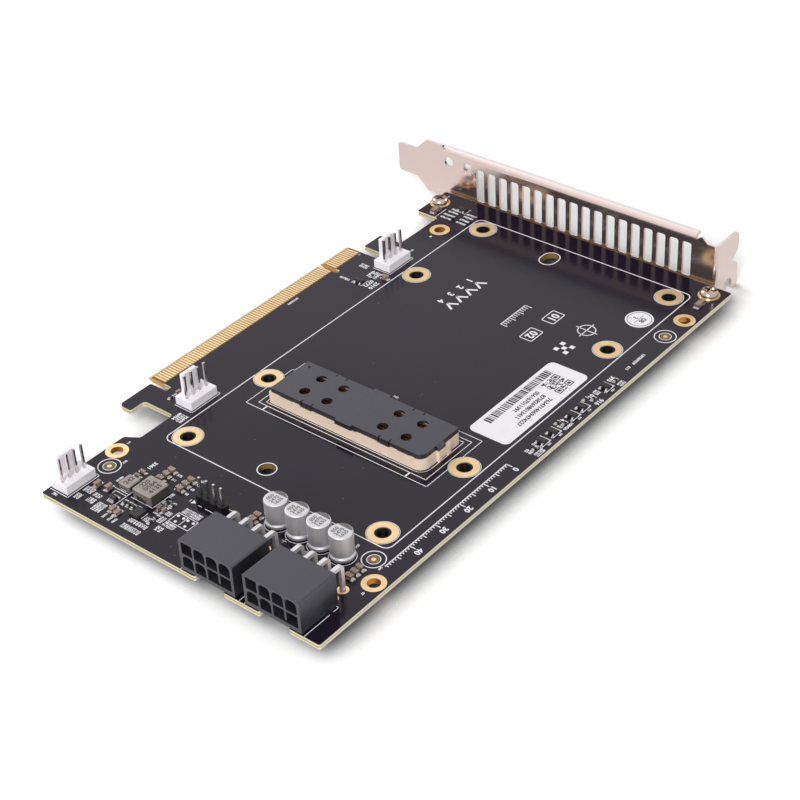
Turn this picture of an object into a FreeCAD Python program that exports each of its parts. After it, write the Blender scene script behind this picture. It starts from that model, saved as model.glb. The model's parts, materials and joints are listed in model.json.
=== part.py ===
import FreeCAD, Part
import math
import os

V = FreeCAD.Vector

# The card lies flat, component face up. X runs from the slot bracket to the rear edge,
# Y from the edge contacts to the top edge, Z = 0 is the component face. Millimetres.

# module holes: an outer and an inner rectangle round one centre
MODULE_X = 70.05
MODULE_Y = 38.75
OUTER_SPAN = (131.0, 68.0)
INNER_SPAN = (65.8, 69.0)
MODULE_PAD_R = 4.1
INSERT_R = 2.2
INSERT_BORE_R = 1.65
INSERT_FLANGE_R = 3.6
INSERT_FLANGE_T = 1.4
INSERT_SINK = 0.15
PAD_T = 0.05
FIT = 0.03

# circuit board
BOARD_T = 1.57
FRONT_MARGIN = 12.15
BOARD_FRONT = MODULE_X - OUTER_SPAN[0] / 2 - FRONT_MARGIN
BOARD_REAR = 175.2
BOARD_TOP = 86.6
LOWER_EDGE = -11.4
FOOT_LOW = -19.5
FRONT_FOOT_REAR = 7.0
TAB_FRONT = 25.6
TAB_REAR = 33.4
REAR_LOWER_EDGE = -9.4
CORNER_R = 0.6

# card edge tongue: standard contact pitch, key and bevel
CONTACT_PITCH = 1.0
CONTACT_W = 0.7
CONTACT_TOP = -18.4
CONTACT_T = 0.05
CONTACT_MARGIN = 1.1
SHORT_COUNT = 11
LONG_COUNT = 71
KEY_X = 49.3
KEY_W = 1.9
KEY_DEPTH = 8.2
KEY_TO_CONTACT = 1.5
TONGUE_TIP = -24.4
BEVEL_L = 1.5
BEVEL_DEG = 20.0
SHORT_FIRST = KEY_X - KEY_TO_CONTACT - (SHORT_COUNT - 1) * CONTACT_PITCH
LONG_FIRST = KEY_X + KEY_TO_CONTACT
TONGUE_FRONT = SHORT_FIRST - CONTACT_MARGIN
TONGUE_REAR = LONG_FIRST + (LONG_COUNT - 1) * CONTACT_PITCH + CONTACT_MARGIN

# retention hook behind the tongue
HOOK_FRONT = TONGUE_REAR + 2.2
HOOK_STEM_REAR = 131.0
HOOK_TOE_REAR = 136.4
HOOK_LOW = -21.2
HOOK_TOE_TOP = -16.6
HOOK_GAP_TOP = -15.1
RELIEF_EDGE = -5.4
RELIEF_REAR = 143.4
RELIEF_RUN = 2.5

# plated corner holes, locating holes
CORNER_HOLE_X = (12.4, 151.25)
CORNER_HOLE_Y = (-6.3, 83.0)
CORNER_PAD_R = 3.2
CORNER_BORE_R = 1.75
PLATING_T = 0.15
LOCATE_ROUND = (133.6, 31.8)
LOCATE_SLOT = (6.9, 31.8)
LOCATE_R = 2.2
LOCATE_SLOT_L = 6.0

# slot bracket, one folded sheet
SHEET_T = 0.9
BEND_R = 0.4
BRACKET_GAP = 1.1
PLATE_IN = BOARD_FRONT - BRACKET_GAP
PLATE_OUT = PLATE_IN - SHEET_T
EAR_TOP = -BOARD_T
PLATE_LOW = EAR_TOP - SHEET_T
PLATE_W = 18.42
PLATE_HIGH = PLATE_LOW + PLATE_W
FLANGE_TOP = 80.4
FLANGE_DEEP = 11.43
FLANGE_LOW = -5.85
FLANGE_HIGH = 12.75
FLANGE_NOTCH_Z = (6.6, 3.8, 1.6)
FLANGE_NOTCH_IN = 3.6
SCREW_SLOT_OUT = 6.35
SCREW_SLOT_X = PLATE_OUT - SCREW_SLOT_OUT
SCREW_SLOT_W = 4.42
SCREW_SLOT_TOP = -1.4
BRACKET_L = 120.02
TAB_W = 10.19
TAB_END = FLANGE_TOP - BRACKET_L
TAB_SHOULDER = -31.9
CURL_FROM = -20.5
CURL_TO = 73.0
CURL_Z = 13.1
CURL_R = 0.9
CURL_LIP = 0.8
CURL_ENTRY = 0.8
CURL_RUN_IN = 1.8
HUMP_RUN = (2.0, 4.0)
HUMP_RISE = 1.5
VENT_COUNT = 18
VENT_FIRST = -6.2
VENT_PITCH = 4.49
VENT_W = 3.0
VENT_LOW = -0.1
VENT_HIGH = 11.25
VENT_R = 0.7
GRIP_HOLE = (-18.75, 10.5)
GRIP_HOLE_R = 1.75
LANCE_Y = (-12.7, -9.8)
LANCE_Z = (8.3, 12.1)
LANCE_STRIP_Z = (8.6, 9.6)
LANCE_LAP = 0.5

# bracket screws
SCREW_IN = (6.5, 4.5)
SCREWS = ((BOARD_FRONT + SCREW_IN[0], -16.8), (BOARD_FRONT + SCREW_IN[1], 81.6))
SCREW_R = 1.45
SCREW_END = -4.2
SCREW_HEAD_R = 2.75
SCREW_HEAD_H = 1.9
SCREW_CROWN_R = 1.33
SCREW_PAD_R = 3.3
CROSS_W = 0.8
CROSS_L = 3.2
CROSS_DEEP = 1.1
EAR_W = 8.5
EAR_REACH = 4.2

# mezzanine connector
MEZZ_X = 103.15
MEZZ_Y = 39.0
MEZZ_W = 16.2
MEZZ_PAD_GAP = 2.65
MEZZ_BOSS_X = MEZZ_X - 0.55
MEZZ_BOSS_W = 5.25
MEZZ_BOSS_D = 0.8
MEZZ_BOSS_H = 3.4
MEZZ_BOSS_MOUTH = (2.55, 1.5, 0.5)
MEZZ_L = INNER_SPAN[1] - 2 * (MODULE_PAD_R + MEZZ_BOSS_D + MEZZ_PAD_GAP)
MEZZ_H = 3.45
MEZZ_WALL = 1.2
MEZZ_BIG_R = 3.0
MEZZ_FLOOR = 0.8
MEZZ_ROW_COUNT = 10
MEZZ_ROW_PITCH = 1.27
MEZZ_ROW_W = 0.5
MEZZ_ROW_END = 4.4
MEZZ_ROW_L = MEZZ_L - 2 * MEZZ_ROW_END
MEZZ_ROW_H = 1.9

# placing cap, a little inside the connector's outline all round
CAP_LEDGE = 0.35
CAP_Y = MEZZ_Y + 0.25
CAP_W = MEZZ_W - 2 * CAP_LEDGE
CAP_L = MEZZ_L - 1.0
CAP_H = 1.5
CAP_TOP_T = 0.7
CAP_BIG_R = 2.6
CAP_MARK = (5.75, 24.2, 0.45)
CAP_SKIRT = 0.9
CAP_HOLE_R = 1.55
CAP_HOLE_X = 3.45
CAP_HOLE_Y = (9.75, 17.75)
CAP_CLIP_Y = 13.55
CAP_CLIP_W = 3.5
CAP_SLIT = 0.35
CAP_SLIT_D = 1.1
CAP_GRIP_L = 5.6
CAP_GRIP_D = 0.78
# end tab: a wedge lying on the upper boss
CAP_END_X = MEZZ_X + 0.4
CAP_END_W = 2.85
CAP_END_D = 0.9
CAP_END_T = 0.5
# steps down in the connector's rim that the cap's skirt hangs into: middle from the cap's, length, depth
RIM_STEPS = ((-CAP_CLIP_Y, 4.3, 0.38), (CAP_CLIP_Y, 4.3, 0.38), (1.0, 6.6, 0.37))
# low ridges on the ledge beside the cap: middle from the connector's, length
RIDGE_IN = (2.75, 3.55)
RIDGES = ((RIDGE_IN[0] - MEZZ_L / 2, 3.0), (-17.0, 2.2), (17.3, 2.2), (MEZZ_L / 2 - RIDGE_IN[1], 1.5))
RIDGE_H = 0.22

# power connectors: two right-angle 2 x 4 housings, front faces flush with the rear edge
POWER_Y = (50.9, 72.2)
POWER_W = 18.0
POWER_D = 13.0
POWER_LOW = 0.5
POWER_H = 9.5
POWER_PITCH = 4.2
POWER_COLUMN_COUNT = 4
POWER_CELL = 3.6
POWER_CELL_D = 10.4
POWER_CELL_R = 1.35
POWER_LOWER_Z = 3.5
POWER_UPPER_Z = POWER_LOWER_Z + POWER_PITCH
POWER_PIN = 1.07
POWER_PIN_TIP = 3.2
POWER_LEGS = {"upper": 157.5, "lower": 161.3}
POWER_BEND_R = 1.4
POWER_FOOT_W = 2.0
POWER_FOOT_X = (163.2, 167.2)
POWER_LATCH_W = 3.4
POWER_LATCH_FROM = 0.5
POWER_LATCH_L = (0.9, 2.7)
POWER_LATCH_LOW = -1.0
POWER_LINK_H = 0.72
POWER_CUT_W = 9.5
POWER_CUT_D = 6.5
PIN_TAIL = 1.5
# cells with a rounded crown take only a rounded plug leg
ROUNDED = {"upper": (False, True, True, True), "lower": (True, True, False, False)}

# fan headers: front corner of each body nearest the bracket, at its upper edge
FAN_AT = ((30.8, -3.0), (116.6, -2.4), (161.9, -2.8))
FAN_W = 10.2
FAN_D = 6.1
FAN_H = 2.6
FAN_PITCH = 2.54
FAN_PIN_COUNT = 4
FAN_PIN = 0.64
POST_TIP = 0.18
FAN_PIN_Y = 2.75
FAN_PIN_HIGH = 10.2
FAN_WALL_X = (2.1, 7.5)
FAN_WALL_T = 1.2
FAN_WALL_H = 8.5

# single-row pin header
HEADER_X = 153.27
HEADER_Y = 27.37
HEADER_COUNT = 4
HEADER_BODY = 2.54
HEADER_H = 2.5
HEADER_PIN_HIGH = 8.1
HEADER_NICK = 0.5

# can capacitors
CAN_X = 148.2
CAN_Y = 70.5
CAN_PITCH = 7.12
CAN_COUNT = 4
CAN_R = 3.15
CAN_H = 8.2
CAN_LIP_R = 3.3
CAN_BASE = 0.3
CAN_LIP_H = 0.9
CAN_LIP_ROUND = 0.35
CAN_GROOVE = 0.4
CAN_GROOVE_H = 0.5
CAN_GROOVE_ROUND = 0.2
CAN_ROUND = 0.4
SEAL_R = 2.6
SEAL_H = 0.9
LEAD_R = 0.3
LEAD_SPAN = 2.5

# inductors: centre, length along X, width along Y, height; terminals as shares of the body
COIL_LARGE = (159.1, 14.95, 7.0, 6.8, 3.1)
COIL_SMALL = (159.8, 7.7, 4.4, 4.2, 2.0)
COIL_TERMINAL_T = 0.15
COIL_TERMINAL_W = 0.5
COIL_TERMINAL_H = 0.55
COIL_CHAMFER = 0.25

# chips
CONVERTER = (166.6, 17.6, 3.4, 3.0, 0.9)
CONTROLLER = (166.0, 7.9)
CONTROLLER_W = 1.25
CONTROLLER_L = 2.1
TRANSISTOR_W = 1.6
TRANSISTOR_L = 2.9
CHIP_H = 1.0
CHIP_LEAD_REACH = 0.7
CHIP_LEAD_T = 0.15
# shares of the lead's reach: where its upper side starts down, meets the board, and the lower side's step
LEAD_KNEE = 0.35
LEAD_HEEL = 0.55
LEAD_STEP = 0.1
CONTROLLER_PITCH = 0.5
CONTROLLER_LEAD_COUNT = 4
CONTROLLER_LEAD_W = 0.22
TRANSISTORS = (
    (52.6, 83.0), (63.9, 83.0), (68.6, 83.0), (77.6, 83.1), (82.6, 83.1), (49.9, -7.4), (SCREWS[0][0], -7.6),
)
TRANSISTOR_LEAD_Y = 0.95
TRANSISTOR_LEAD_W = 0.42

# ceramic capacitors by size: length, width, height, share of the length that is metal at each end
CERAMIC_SIZES = {
    "large": (3.2, 1.6, 1.1), "middle": (2.0, 1.25, 1.25), "small": (2.0, 1.25, 0.85),
    "tiny": (1.6, 0.8, 0.8),
}
CERAMIC_END = 0.2
# the large ones ground the bracket, each beside its screw
BESIDE_SCREW = ((5.0, 2.1), (6.35, 0.6))
CERAMICS_ALONG_X = {
    "large": [(x + dx, y + dy) for (x, y), (dx, dy) in zip(SCREWS, BESIDE_SCREW)],
    "middle": ((163.6, 3.7), (164.4, 0.3)),
    "small": ((169.4, 13.0), (169.0, 10.9)),
    "tiny": ((161.7, 22.1), (161.7, 20.4), (122.7, -11.7)),
}
CERAMICS_ALONG_Y = {
    "middle": (
        (149.0, 19.4), (151.15, 19.4), (153.3, 19.4), (149.0, 12.3), (151.15, 12.3), (153.3, 12.3),
        (149.3, 43.2), (151.3, 43.2), (149.3, 77.0), (151.3, 77.0), (153.3, 77.0), (44.2, -2.1),
    ),
    "tiny": ((153.7, 6.2), (155.7, 6.2)),
}
RESISTOR = (1.6, 0.8, 0.45)
RESISTOR_END = 0.2
RESISTORS = (
    (159.0, 22.5), (159.0, 20.5), (165.3, 14.6), (165.3, 13.0), (165.3, 11.4), (164.9, 22.4), (166.9, 22.4),
    (48.4, 83.4), (59.0, 83.4), (60.4, 81.6), (72.6, 83.4), (73.4, 81.6), (86.2, 83.4), (125.6, -11.6),
    (45.2, -6.4),
)

# paper
LABEL = (51.0, 89.3, 63.7, 76.8)
LABEL_R = 1.8
PAPER_T = 0.12
STICKER = (19.3, 72.2)
STICKER_R = 4.15

# the frame's origin: middle of the whole card's box, on its lowest level
FLANGE_OUT = PLATE_OUT - FLANGE_DEEP
ORIGIN = V((FLANGE_OUT + BOARD_REAR) / 2, (TAB_END + BOARD_TOP) / 2, FLANGE_LOW)


def level(z):
    return lambda a, b: V(a, b, z)


def facing_x(x):
    return lambda a, b: V(x, a, b)


def facing_y(y):
    return lambda a, b: V(a, y, b)


def rounded(points, at):
    """Closed wire through (a, b, radius) corners, with an arc at every corner that has a radius."""
    corners = []
    for i, (a, b, r) in enumerate(points):
        here = V(a, b, 0)
        before = V(points[i - 1][0], points[i - 1][1], 0)
        after = V(points[(i + 1) % len(points)][0], points[(i + 1) % len(points)][1], 0)
        if r <= 0:
            corners.append((here, None, here))
            continue
        to_before = (before - here).normalize()
        to_after = (after - here).normalize()
        half = to_before.getAngle(to_after) / 2
        bisector = (to_before + to_after).normalize()
        setback = r / math.tan(half)
        crown = here + bisector * (r / math.sin(half) - r)
        corners.append((here + to_before * setback, crown, here + to_after * setback))
    edges = []
    for i, (start, crown, end) in enumerate(corners):
        if crown is not None:
            edges.append(Part.Arc(at(start.x, start.y), at(crown.x, crown.y), at(end.x, end.y)).toShape())
        following = corners[(i + 1) % len(corners)][0]
        if (following - end).Length > 1e-6:
            edges.append(Part.makeLine(at(end.x, end.y), at(following.x, following.y)))
    return Part.Wire(edges)


def prism(points, at, run):
    return Part.Face(rounded(points, at)).extrude(run)


def sharp(points):
    return [(a, b, 0) for a, b in points]


def rectangle(a0, a1, b0, b1, r=0):
    return [(a0, b0, r), (a1, b0, r), (a1, b1, r), (a0, b1, r)]


def block(x0, x1, y0, y1, z0, z1):
    return Part.makeBox(x1 - x0, y1 - y0, z1 - z0, V(x0, y0, z0))


def rod(x, y, z0, z1, r):
    return Part.makeCylinder(r, z1 - z0, V(x, y, z0))


def turned(points, x, y):
    """Solid turned about the upright line at x, y from (radius, height) corners."""
    wire = rounded(points, facing_y(0))
    solid = Part.Face(wire).revolve(V(0, 0, 0), V(0, 0, 1), 360)
    solid.translate(V(x, y, 0))
    return solid


def save(name, pieces):
    shape = pieces[0].copy() if len(pieces) == 1 else Part.makeCompound(pieces)
    shape.translate(ORIGIN * -1)
    shape.exportStep("parts/" + name + ".step")


def module_holes():
    places = []
    for span_x, span_y in (OUTER_SPAN, INNER_SPAN):
        for side_x in (-1, 1):
            for side_y in (-1, 1):
                places.append((MODULE_X + side_x * span_x / 2, MODULE_Y + side_y * span_y / 2))
    return places


def corner_holes():
    return [(x, y) for x in CORNER_HOLE_X for y in CORNER_HOLE_Y]


def spread(centre, pitch, count):
    """Evenly spaced places round a centre."""
    return [centre + (i - (count - 1) / 2) * pitch for i in range(count)]


def power_columns(centre):
    return spread(centre, POWER_PITCH, POWER_COLUMN_COUNT)


def fan_pin_places(corner):
    return [(x, corner[1] - FAN_PIN_Y) for x in spread(corner[0] + FAN_W / 2, FAN_PITCH, FAN_PIN_COUNT)]


def header_pin_places():
    return [(HEADER_X, HEADER_Y + i * HEADER_BODY) for i in range(HEADER_COUNT)]


def can_places():
    return [(CAN_X, CAN_Y - i * CAN_PITCH) for i in range(CAN_COUNT)]


def lead_places():
    return [(x, y + side * LEAD_SPAN / 2) for x, y in can_places() for side in (-1, 1)]


def post_hole(x, y, side):
    """Round board hole that clears a square post."""
    return rod(x, y, -BOARD_T - 1, 1, side / math.sqrt(2) + 2 * FIT)


def circuit_board():
    key_left = KEY_X - KEY_W / 2
    key_right = KEY_X + KEY_W / 2
    key_top = TONGUE_TIP + KEY_DEPTH
    outline = [
        (BOARD_FRONT, FOOT_LOW, CORNER_R),
        (FRONT_FOOT_REAR, FOOT_LOW, CORNER_R),
        (FRONT_FOOT_REAR, LOWER_EDGE, CORNER_R),
        (TAB_FRONT, LOWER_EDGE, CORNER_R),
        (TAB_FRONT, FOOT_LOW, CORNER_R),
        (TAB_REAR, FOOT_LOW, CORNER_R),
        (TAB_REAR, LOWER_EDGE, CORNER_R),
        (TONGUE_FRONT, LOWER_EDGE, CORNER_R),
        (TONGUE_FRONT, TONGUE_TIP, 0),
        (key_left, TONGUE_TIP, 0),
        (key_left, key_top, KEY_W / 2),
        (key_right, key_top, KEY_W / 2),
        (key_right, TONGUE_TIP, 0),
        (TONGUE_REAR, TONGUE_TIP, 0),
        (TONGUE_REAR, HOOK_GAP_TOP, CORNER_R),
        (HOOK_FRONT, HOOK_GAP_TOP, CORNER_R),
        (HOOK_FRONT, HOOK_LOW, CORNER_R),
        (HOOK_TOE_REAR, HOOK_LOW, 3 * CORNER_R),
        (HOOK_TOE_REAR, HOOK_TOE_TOP, CORNER_R),
        (HOOK_STEM_REAR, HOOK_TOE_TOP, 2 * CORNER_R),
        (HOOK_STEM_REAR, RELIEF_EDGE, 2 * CORNER_R),
        (RELIEF_REAR, RELIEF_EDGE, 2 * CORNER_R),
        (RELIEF_REAR + RELIEF_RUN, REAR_LOWER_EDGE, 2 * CORNER_R),
        (BOARD_REAR, REAR_LOWER_EDGE, CORNER_R),
    ]
    for centre in POWER_Y:
        cut_in = BOARD_REAR - POWER_CUT_D
        outline.append((BOARD_REAR, centre - POWER_CUT_W / 2, CORNER_R))
        outline.append((cut_in, centre - POWER_CUT_W / 2, 2 * CORNER_R))
        outline.append((cut_in, centre + POWER_CUT_W / 2, 2 * CORNER_R))
        outline.append((BOARD_REAR, centre + POWER_CUT_W / 2, CORNER_R))
    outline.append((BOARD_REAR, BOARD_TOP, CORNER_R))
    outline.append((BOARD_FRONT, BOARD_TOP, CORNER_R))
    board = prism(outline, level(-BOARD_T), V(0, 0, BOARD_T))

    drop = BEVEL_L * math.tan(math.radians(BEVEL_DEG))
    start = TONGUE_TIP + BEVEL_L
    run = V(TONGUE_REAR - TONGUE_FRONT + 2, 0, 0)
    upper = sharp([(start, 0), (TONGUE_TIP, -drop), (TONGUE_TIP - 1, -drop), (TONGUE_TIP - 1, 1), (start, 1)])
    lower = [(y, -BOARD_T - z, 0) for y, z, _ in upper]
    tools = [prism(side, facing_x(TONGUE_FRONT - 1), run) for side in (upper, lower)]

    through = (-BOARD_T - 1, 1)
    tools += [rod(x, y, *through, INSERT_R + FIT) for x, y in module_holes()]
    tools += [rod(x, y, *through, CORNER_BORE_R + PLATING_T) for x, y in corner_holes()]
    tools += [rod(x, y, *through, SCREW_R + FIT) for x, y in SCREWS]
    tools += [rod(x, y, *through, LEAD_R + FIT) for x, y in lead_places()]
    tools.append(rod(*LOCATE_ROUND, *through, LOCATE_R))
    slot_x, slot_y = LOCATE_SLOT
    slot = rectangle(
        slot_x - LOCATE_SLOT_L / 2, slot_x + LOCATE_SLOT_L / 2, slot_y - LOCATE_R, slot_y + LOCATE_R, LOCATE_R
    )
    tools.append(prism(slot, level(through[0]), V(0, 0, through[1] - through[0])))
    for centre in POWER_Y:
        for leg in POWER_LEGS.values():
            tools += [post_hole(leg, y, POWER_PIN) for y in power_columns(centre)]
    for corner in FAN_AT:
        tools += [post_hole(x, y, FAN_PIN) for x, y in fan_pin_places(corner)]
    tools += [post_hole(x, y, FAN_PIN) for x, y in header_pin_places()]
    return board.cut(tools)


def edge_contacts(z):
    contacts = []
    for first, count in ((SHORT_FIRST, SHORT_COUNT), (LONG_FIRST, LONG_COUNT)):
        for i in range(count):
            x0 = first + i * CONTACT_PITCH - CONTACT_W / 2
            contacts.append(block(x0, x0 + CONTACT_W, TONGUE_TIP + BEVEL_L, CONTACT_TOP, z, z + CONTACT_T))
    return contacts


def flat_ring(x, y, outer, inner):
    return rod(x, y, 0, PAD_T, outer).cut(rod(x, y, -1, 1, inner))


def plated_hole(x, y):
    """Plating through the board with a flat ring on both faces."""
    low = -BOARD_T
    profile = sharp([
        (CORNER_BORE_R, low - PAD_T),
        (CORNER_PAD_R, low - PAD_T),
        (CORNER_PAD_R, low),
        (CORNER_BORE_R + PLATING_T, low),
        (CORNER_BORE_R + PLATING_T, 0),
        (CORNER_PAD_R, 0),
        (CORNER_PAD_R, PAD_T),
        (CORNER_BORE_R, PAD_T),
    ])
    return turned(profile, x, y)


def threaded_insert(x, y):
    low = -BOARD_T
    profile = sharp([
        (INSERT_BORE_R, low - INSERT_FLANGE_T),
        (INSERT_FLANGE_R, low - INSERT_FLANGE_T),
        (INSERT_FLANGE_R, low),
        (INSERT_R, low),
        (INSERT_R, -INSERT_SINK),
        (INSERT_BORE_R, -INSERT_SINK),
    ])
    return turned(profile, x, y)


def quarter_bend(at, centre, corner, run):
    """Quarter ring of sheet. corner gives the two signs that point from the centre to the outside."""
    a, b = centre
    sa, sb = corner
    inner = BEND_R
    outer = BEND_R + SHEET_T
    points = [
        (a + sa * inner, b, 0),
        (a + sa * outer, b, 0),
        (a + sa * outer, b + sb * outer, outer),
        (a, b + sb * outer, 0),
        (a, b + sb * inner, 0),
        (a + sa * inner, b + sb * inner, inner),
    ]
    return prism(points, at, run)


def bracket():
    bend_y = FLANGE_TOP - SHEET_T - BEND_R
    shoulder = (PLATE_W - TAB_W) / 2
    wide_y = TAB_SHOULDER + shoulder
    outline = [
        (bend_y, PLATE_LOW, 0),
        (wide_y, PLATE_LOW, CORNER_R),
        (TAB_SHOULDER, PLATE_LOW + shoulder, CORNER_R),
        (TAB_END, PLATE_LOW + shoulder, 2 * CORNER_R),
        (TAB_END, PLATE_HIGH - shoulder, 2 * CORNER_R),
        (TAB_SHOULDER, PLATE_HIGH - shoulder, CORNER_R),
        (wide_y, PLATE_HIGH, CORNER_R),
        (CURL_FROM - CURL_ENTRY, PLATE_HIGH, CORNER_R),
        (CURL_FROM, CURL_Z, 0),
        (CURL_TO, CURL_Z, 0),
        (CURL_TO + HUMP_RUN[0], CURL_Z + HUMP_RISE, 0),
        (CURL_TO + HUMP_RUN[1], FLANGE_HIGH, 0),
        (bend_y, FLANGE_HIGH, 0),
    ]
    across = V(SHEET_T, 0, 0)
    plate = prism(outline, facing_x(PLATE_OUT), across)

    # edge curled outward along the vents
    lip_z = CURL_Z + CURL_R + SHEET_T
    curl_x = PLATE_OUT - CURL_R
    curl = [
        (PLATE_OUT, CURL_Z, 0),
        (PLATE_IN, CURL_Z, 0),
        (PLATE_IN, lip_z, CURL_R + SHEET_T),
        (curl_x - CURL_LIP, lip_z, 0),
        (curl_x - CURL_LIP, lip_z - SHEET_T, 0),
        (PLATE_OUT, lip_z - SHEET_T, CURL_R),
    ]
    curl_from = CURL_FROM - CURL_RUN_IN
    parts = [prism(curl, facing_y(curl_from), V(0, CURL_TO - curl_from, 0))]

    # flange folded outward, with its side notch and screw slot
    flange_x = PLATE_OUT - BEND_R
    parts.append(
        quarter_bend(level(PLATE_LOW), (flange_x, bend_y), (1, 1), V(0, 0, FLANGE_HIGH - PLATE_LOW))
    )
    notch_high, notch_mid, notch_low = FLANGE_NOTCH_Z
    flange = [
        (flange_x, FLANGE_LOW, 0),
        (flange_x, FLANGE_HIGH, 0),
        (FLANGE_OUT, FLANGE_HIGH, 3 * CORNER_R),
        (FLANGE_OUT, notch_high, CORNER_R),
        (FLANGE_OUT + FLANGE_NOTCH_IN, notch_mid, CORNER_R / 2),
        (FLANGE_OUT, notch_low, 2 * CORNER_R),
        (FLANGE_OUT, FLANGE_LOW, 2 * CORNER_R),
    ]
    flange_y = FLANGE_TOP - SHEET_T
    parts.append(prism(flange, facing_y(flange_y), V(0, SHEET_T, 0)))

    # ears folded inward under the board
    ear_x = PLATE_IN + BEND_R
    cuts = []
    for (screw_x, screw_y), bend_at in zip(SCREWS, (SCREWS[0][1], bend_y - EAR_W / 2)):
        low = bend_at - EAR_W / 2
        cuts.append(block(PLATE_OUT - 1, PLATE_IN + 1, low, low + EAR_W, PLATE_LOW - 1, EAR_TOP + BEND_R))
        parts.append(
            quarter_bend(facing_y(low), (ear_x, EAR_TOP + BEND_R), (-1, -1), V(0, EAR_W, 0))
        )
        end_x = screw_x + EAR_REACH
        end_low = screw_y - EAR_W / 2
        end_high = screw_y + EAR_W / 2
        ear = [
            (ear_x, low, 0),
            (end_x, end_low, 2 * CORNER_R),
            (end_x, end_high, 2 * CORNER_R),
        ]
        if screw_y > bend_at:
            ear.append((BOARD_FRONT + CORNER_R, end_high, CORNER_R))
        ear.append((ear_x, low + EAR_W, 0))
        parts.append(prism(ear, level(PLATE_LOW), V(0, 0, SHEET_T)))
    sheet = plate.cut(cuts).fuse(parts).removeSplitter()

    # vents, grip hole, lanced window, screw slot, ear holes
    tools = []
    for i in range(VENT_COUNT):
        y = VENT_FIRST + i * VENT_PITCH
        vent = rectangle(y - VENT_W / 2, y + VENT_W / 2, VENT_LOW, VENT_HIGH, VENT_R)
        tools.append(prism(vent, facing_x(PLATE_OUT - 1), V(SHEET_T + 2, 0, 0)))
    grip = Part.makeCylinder(GRIP_HOLE_R, SHEET_T + 2, V(PLATE_OUT - 1, *GRIP_HOLE), V(1, 0, 0))
    tools.append(grip)
    tools.append(block(PLATE_OUT - 1, PLATE_IN + 1, *LANCE_Y, *LANCE_Z))
    slot = [
        (SCREW_SLOT_X - SCREW_SLOT_W / 2, FLANGE_LOW - 1, 0),
        (SCREW_SLOT_X + SCREW_SLOT_W / 2, FLANGE_LOW - 1, 0),
        (SCREW_SLOT_X + SCREW_SLOT_W / 2, SCREW_SLOT_TOP, SCREW_SLOT_W / 2),
        (SCREW_SLOT_X - SCREW_SLOT_W / 2, SCREW_SLOT_TOP, SCREW_SLOT_W / 2),
    ]
    tools.append(prism(slot, facing_y(flange_y - 1), V(0, SHEET_T + 2, 0)))
    tools += [rod(x, y, PLATE_LOW - 1, EAR_TOP + 1, SCREW_R + FIT) for x, y in SCREWS]
    sheet = sheet.cut(tools)

    # strip of the lanced window, pushed outward and still joined at both ends
    lap_low = LANCE_Y[0] - LANCE_LAP
    lap_high = LANCE_Y[1] + LANCE_LAP
    strip = block(PLATE_OUT - SHEET_T, PLATE_OUT, lap_low, lap_high, *LANCE_STRIP_Z)
    return sheet.fuse(strip).removeSplitter()


def bracket_screw(x, y):
    head = [
        (0, PAD_T, 0),
        (SCREW_HEAD_R, PAD_T, 0),
        (SCREW_HEAD_R, PAD_T + SCREW_HEAD_H, SCREW_CROWN_R),
        (0, PAD_T + SCREW_HEAD_H, 0),
    ]
    screw = turned(head, x, y).fuse(rod(x, y, SCREW_END, PAD_T, SCREW_R)).removeSplitter()
    top = PAD_T + SCREW_HEAD_H
    cross = [
        block(x - CROSS_L / 2, x + CROSS_L / 2, y - CROSS_W / 2, y + CROSS_W / 2, top - CROSS_DEEP, top + 1),
        block(x - CROSS_W / 2, x + CROSS_W / 2, y - CROSS_L / 2, y + CROSS_L / 2, top - CROSS_DEEP, top + 1),
    ]
    return screw.cut(cross)


def rim_steps(inner, outer, clearance):
    """Steps along the rim of the long walls, or the skirt that hangs into them with some clearance."""
    steps = []
    for side_x in (-1, 1):
        x0, x1 = sorted((MEZZ_X + side_x * inner, MEZZ_X + side_x * outer))
        for middle, length, depth in RIM_STEPS:
            y = CAP_Y + middle
            half = length / 2 - clearance
            low = MEZZ_H - depth + clearance
            steps.append(block(x0, x1, y - half, y + half, low, MEZZ_H + CAP_H - CAP_TOP_T))
    return steps


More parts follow.
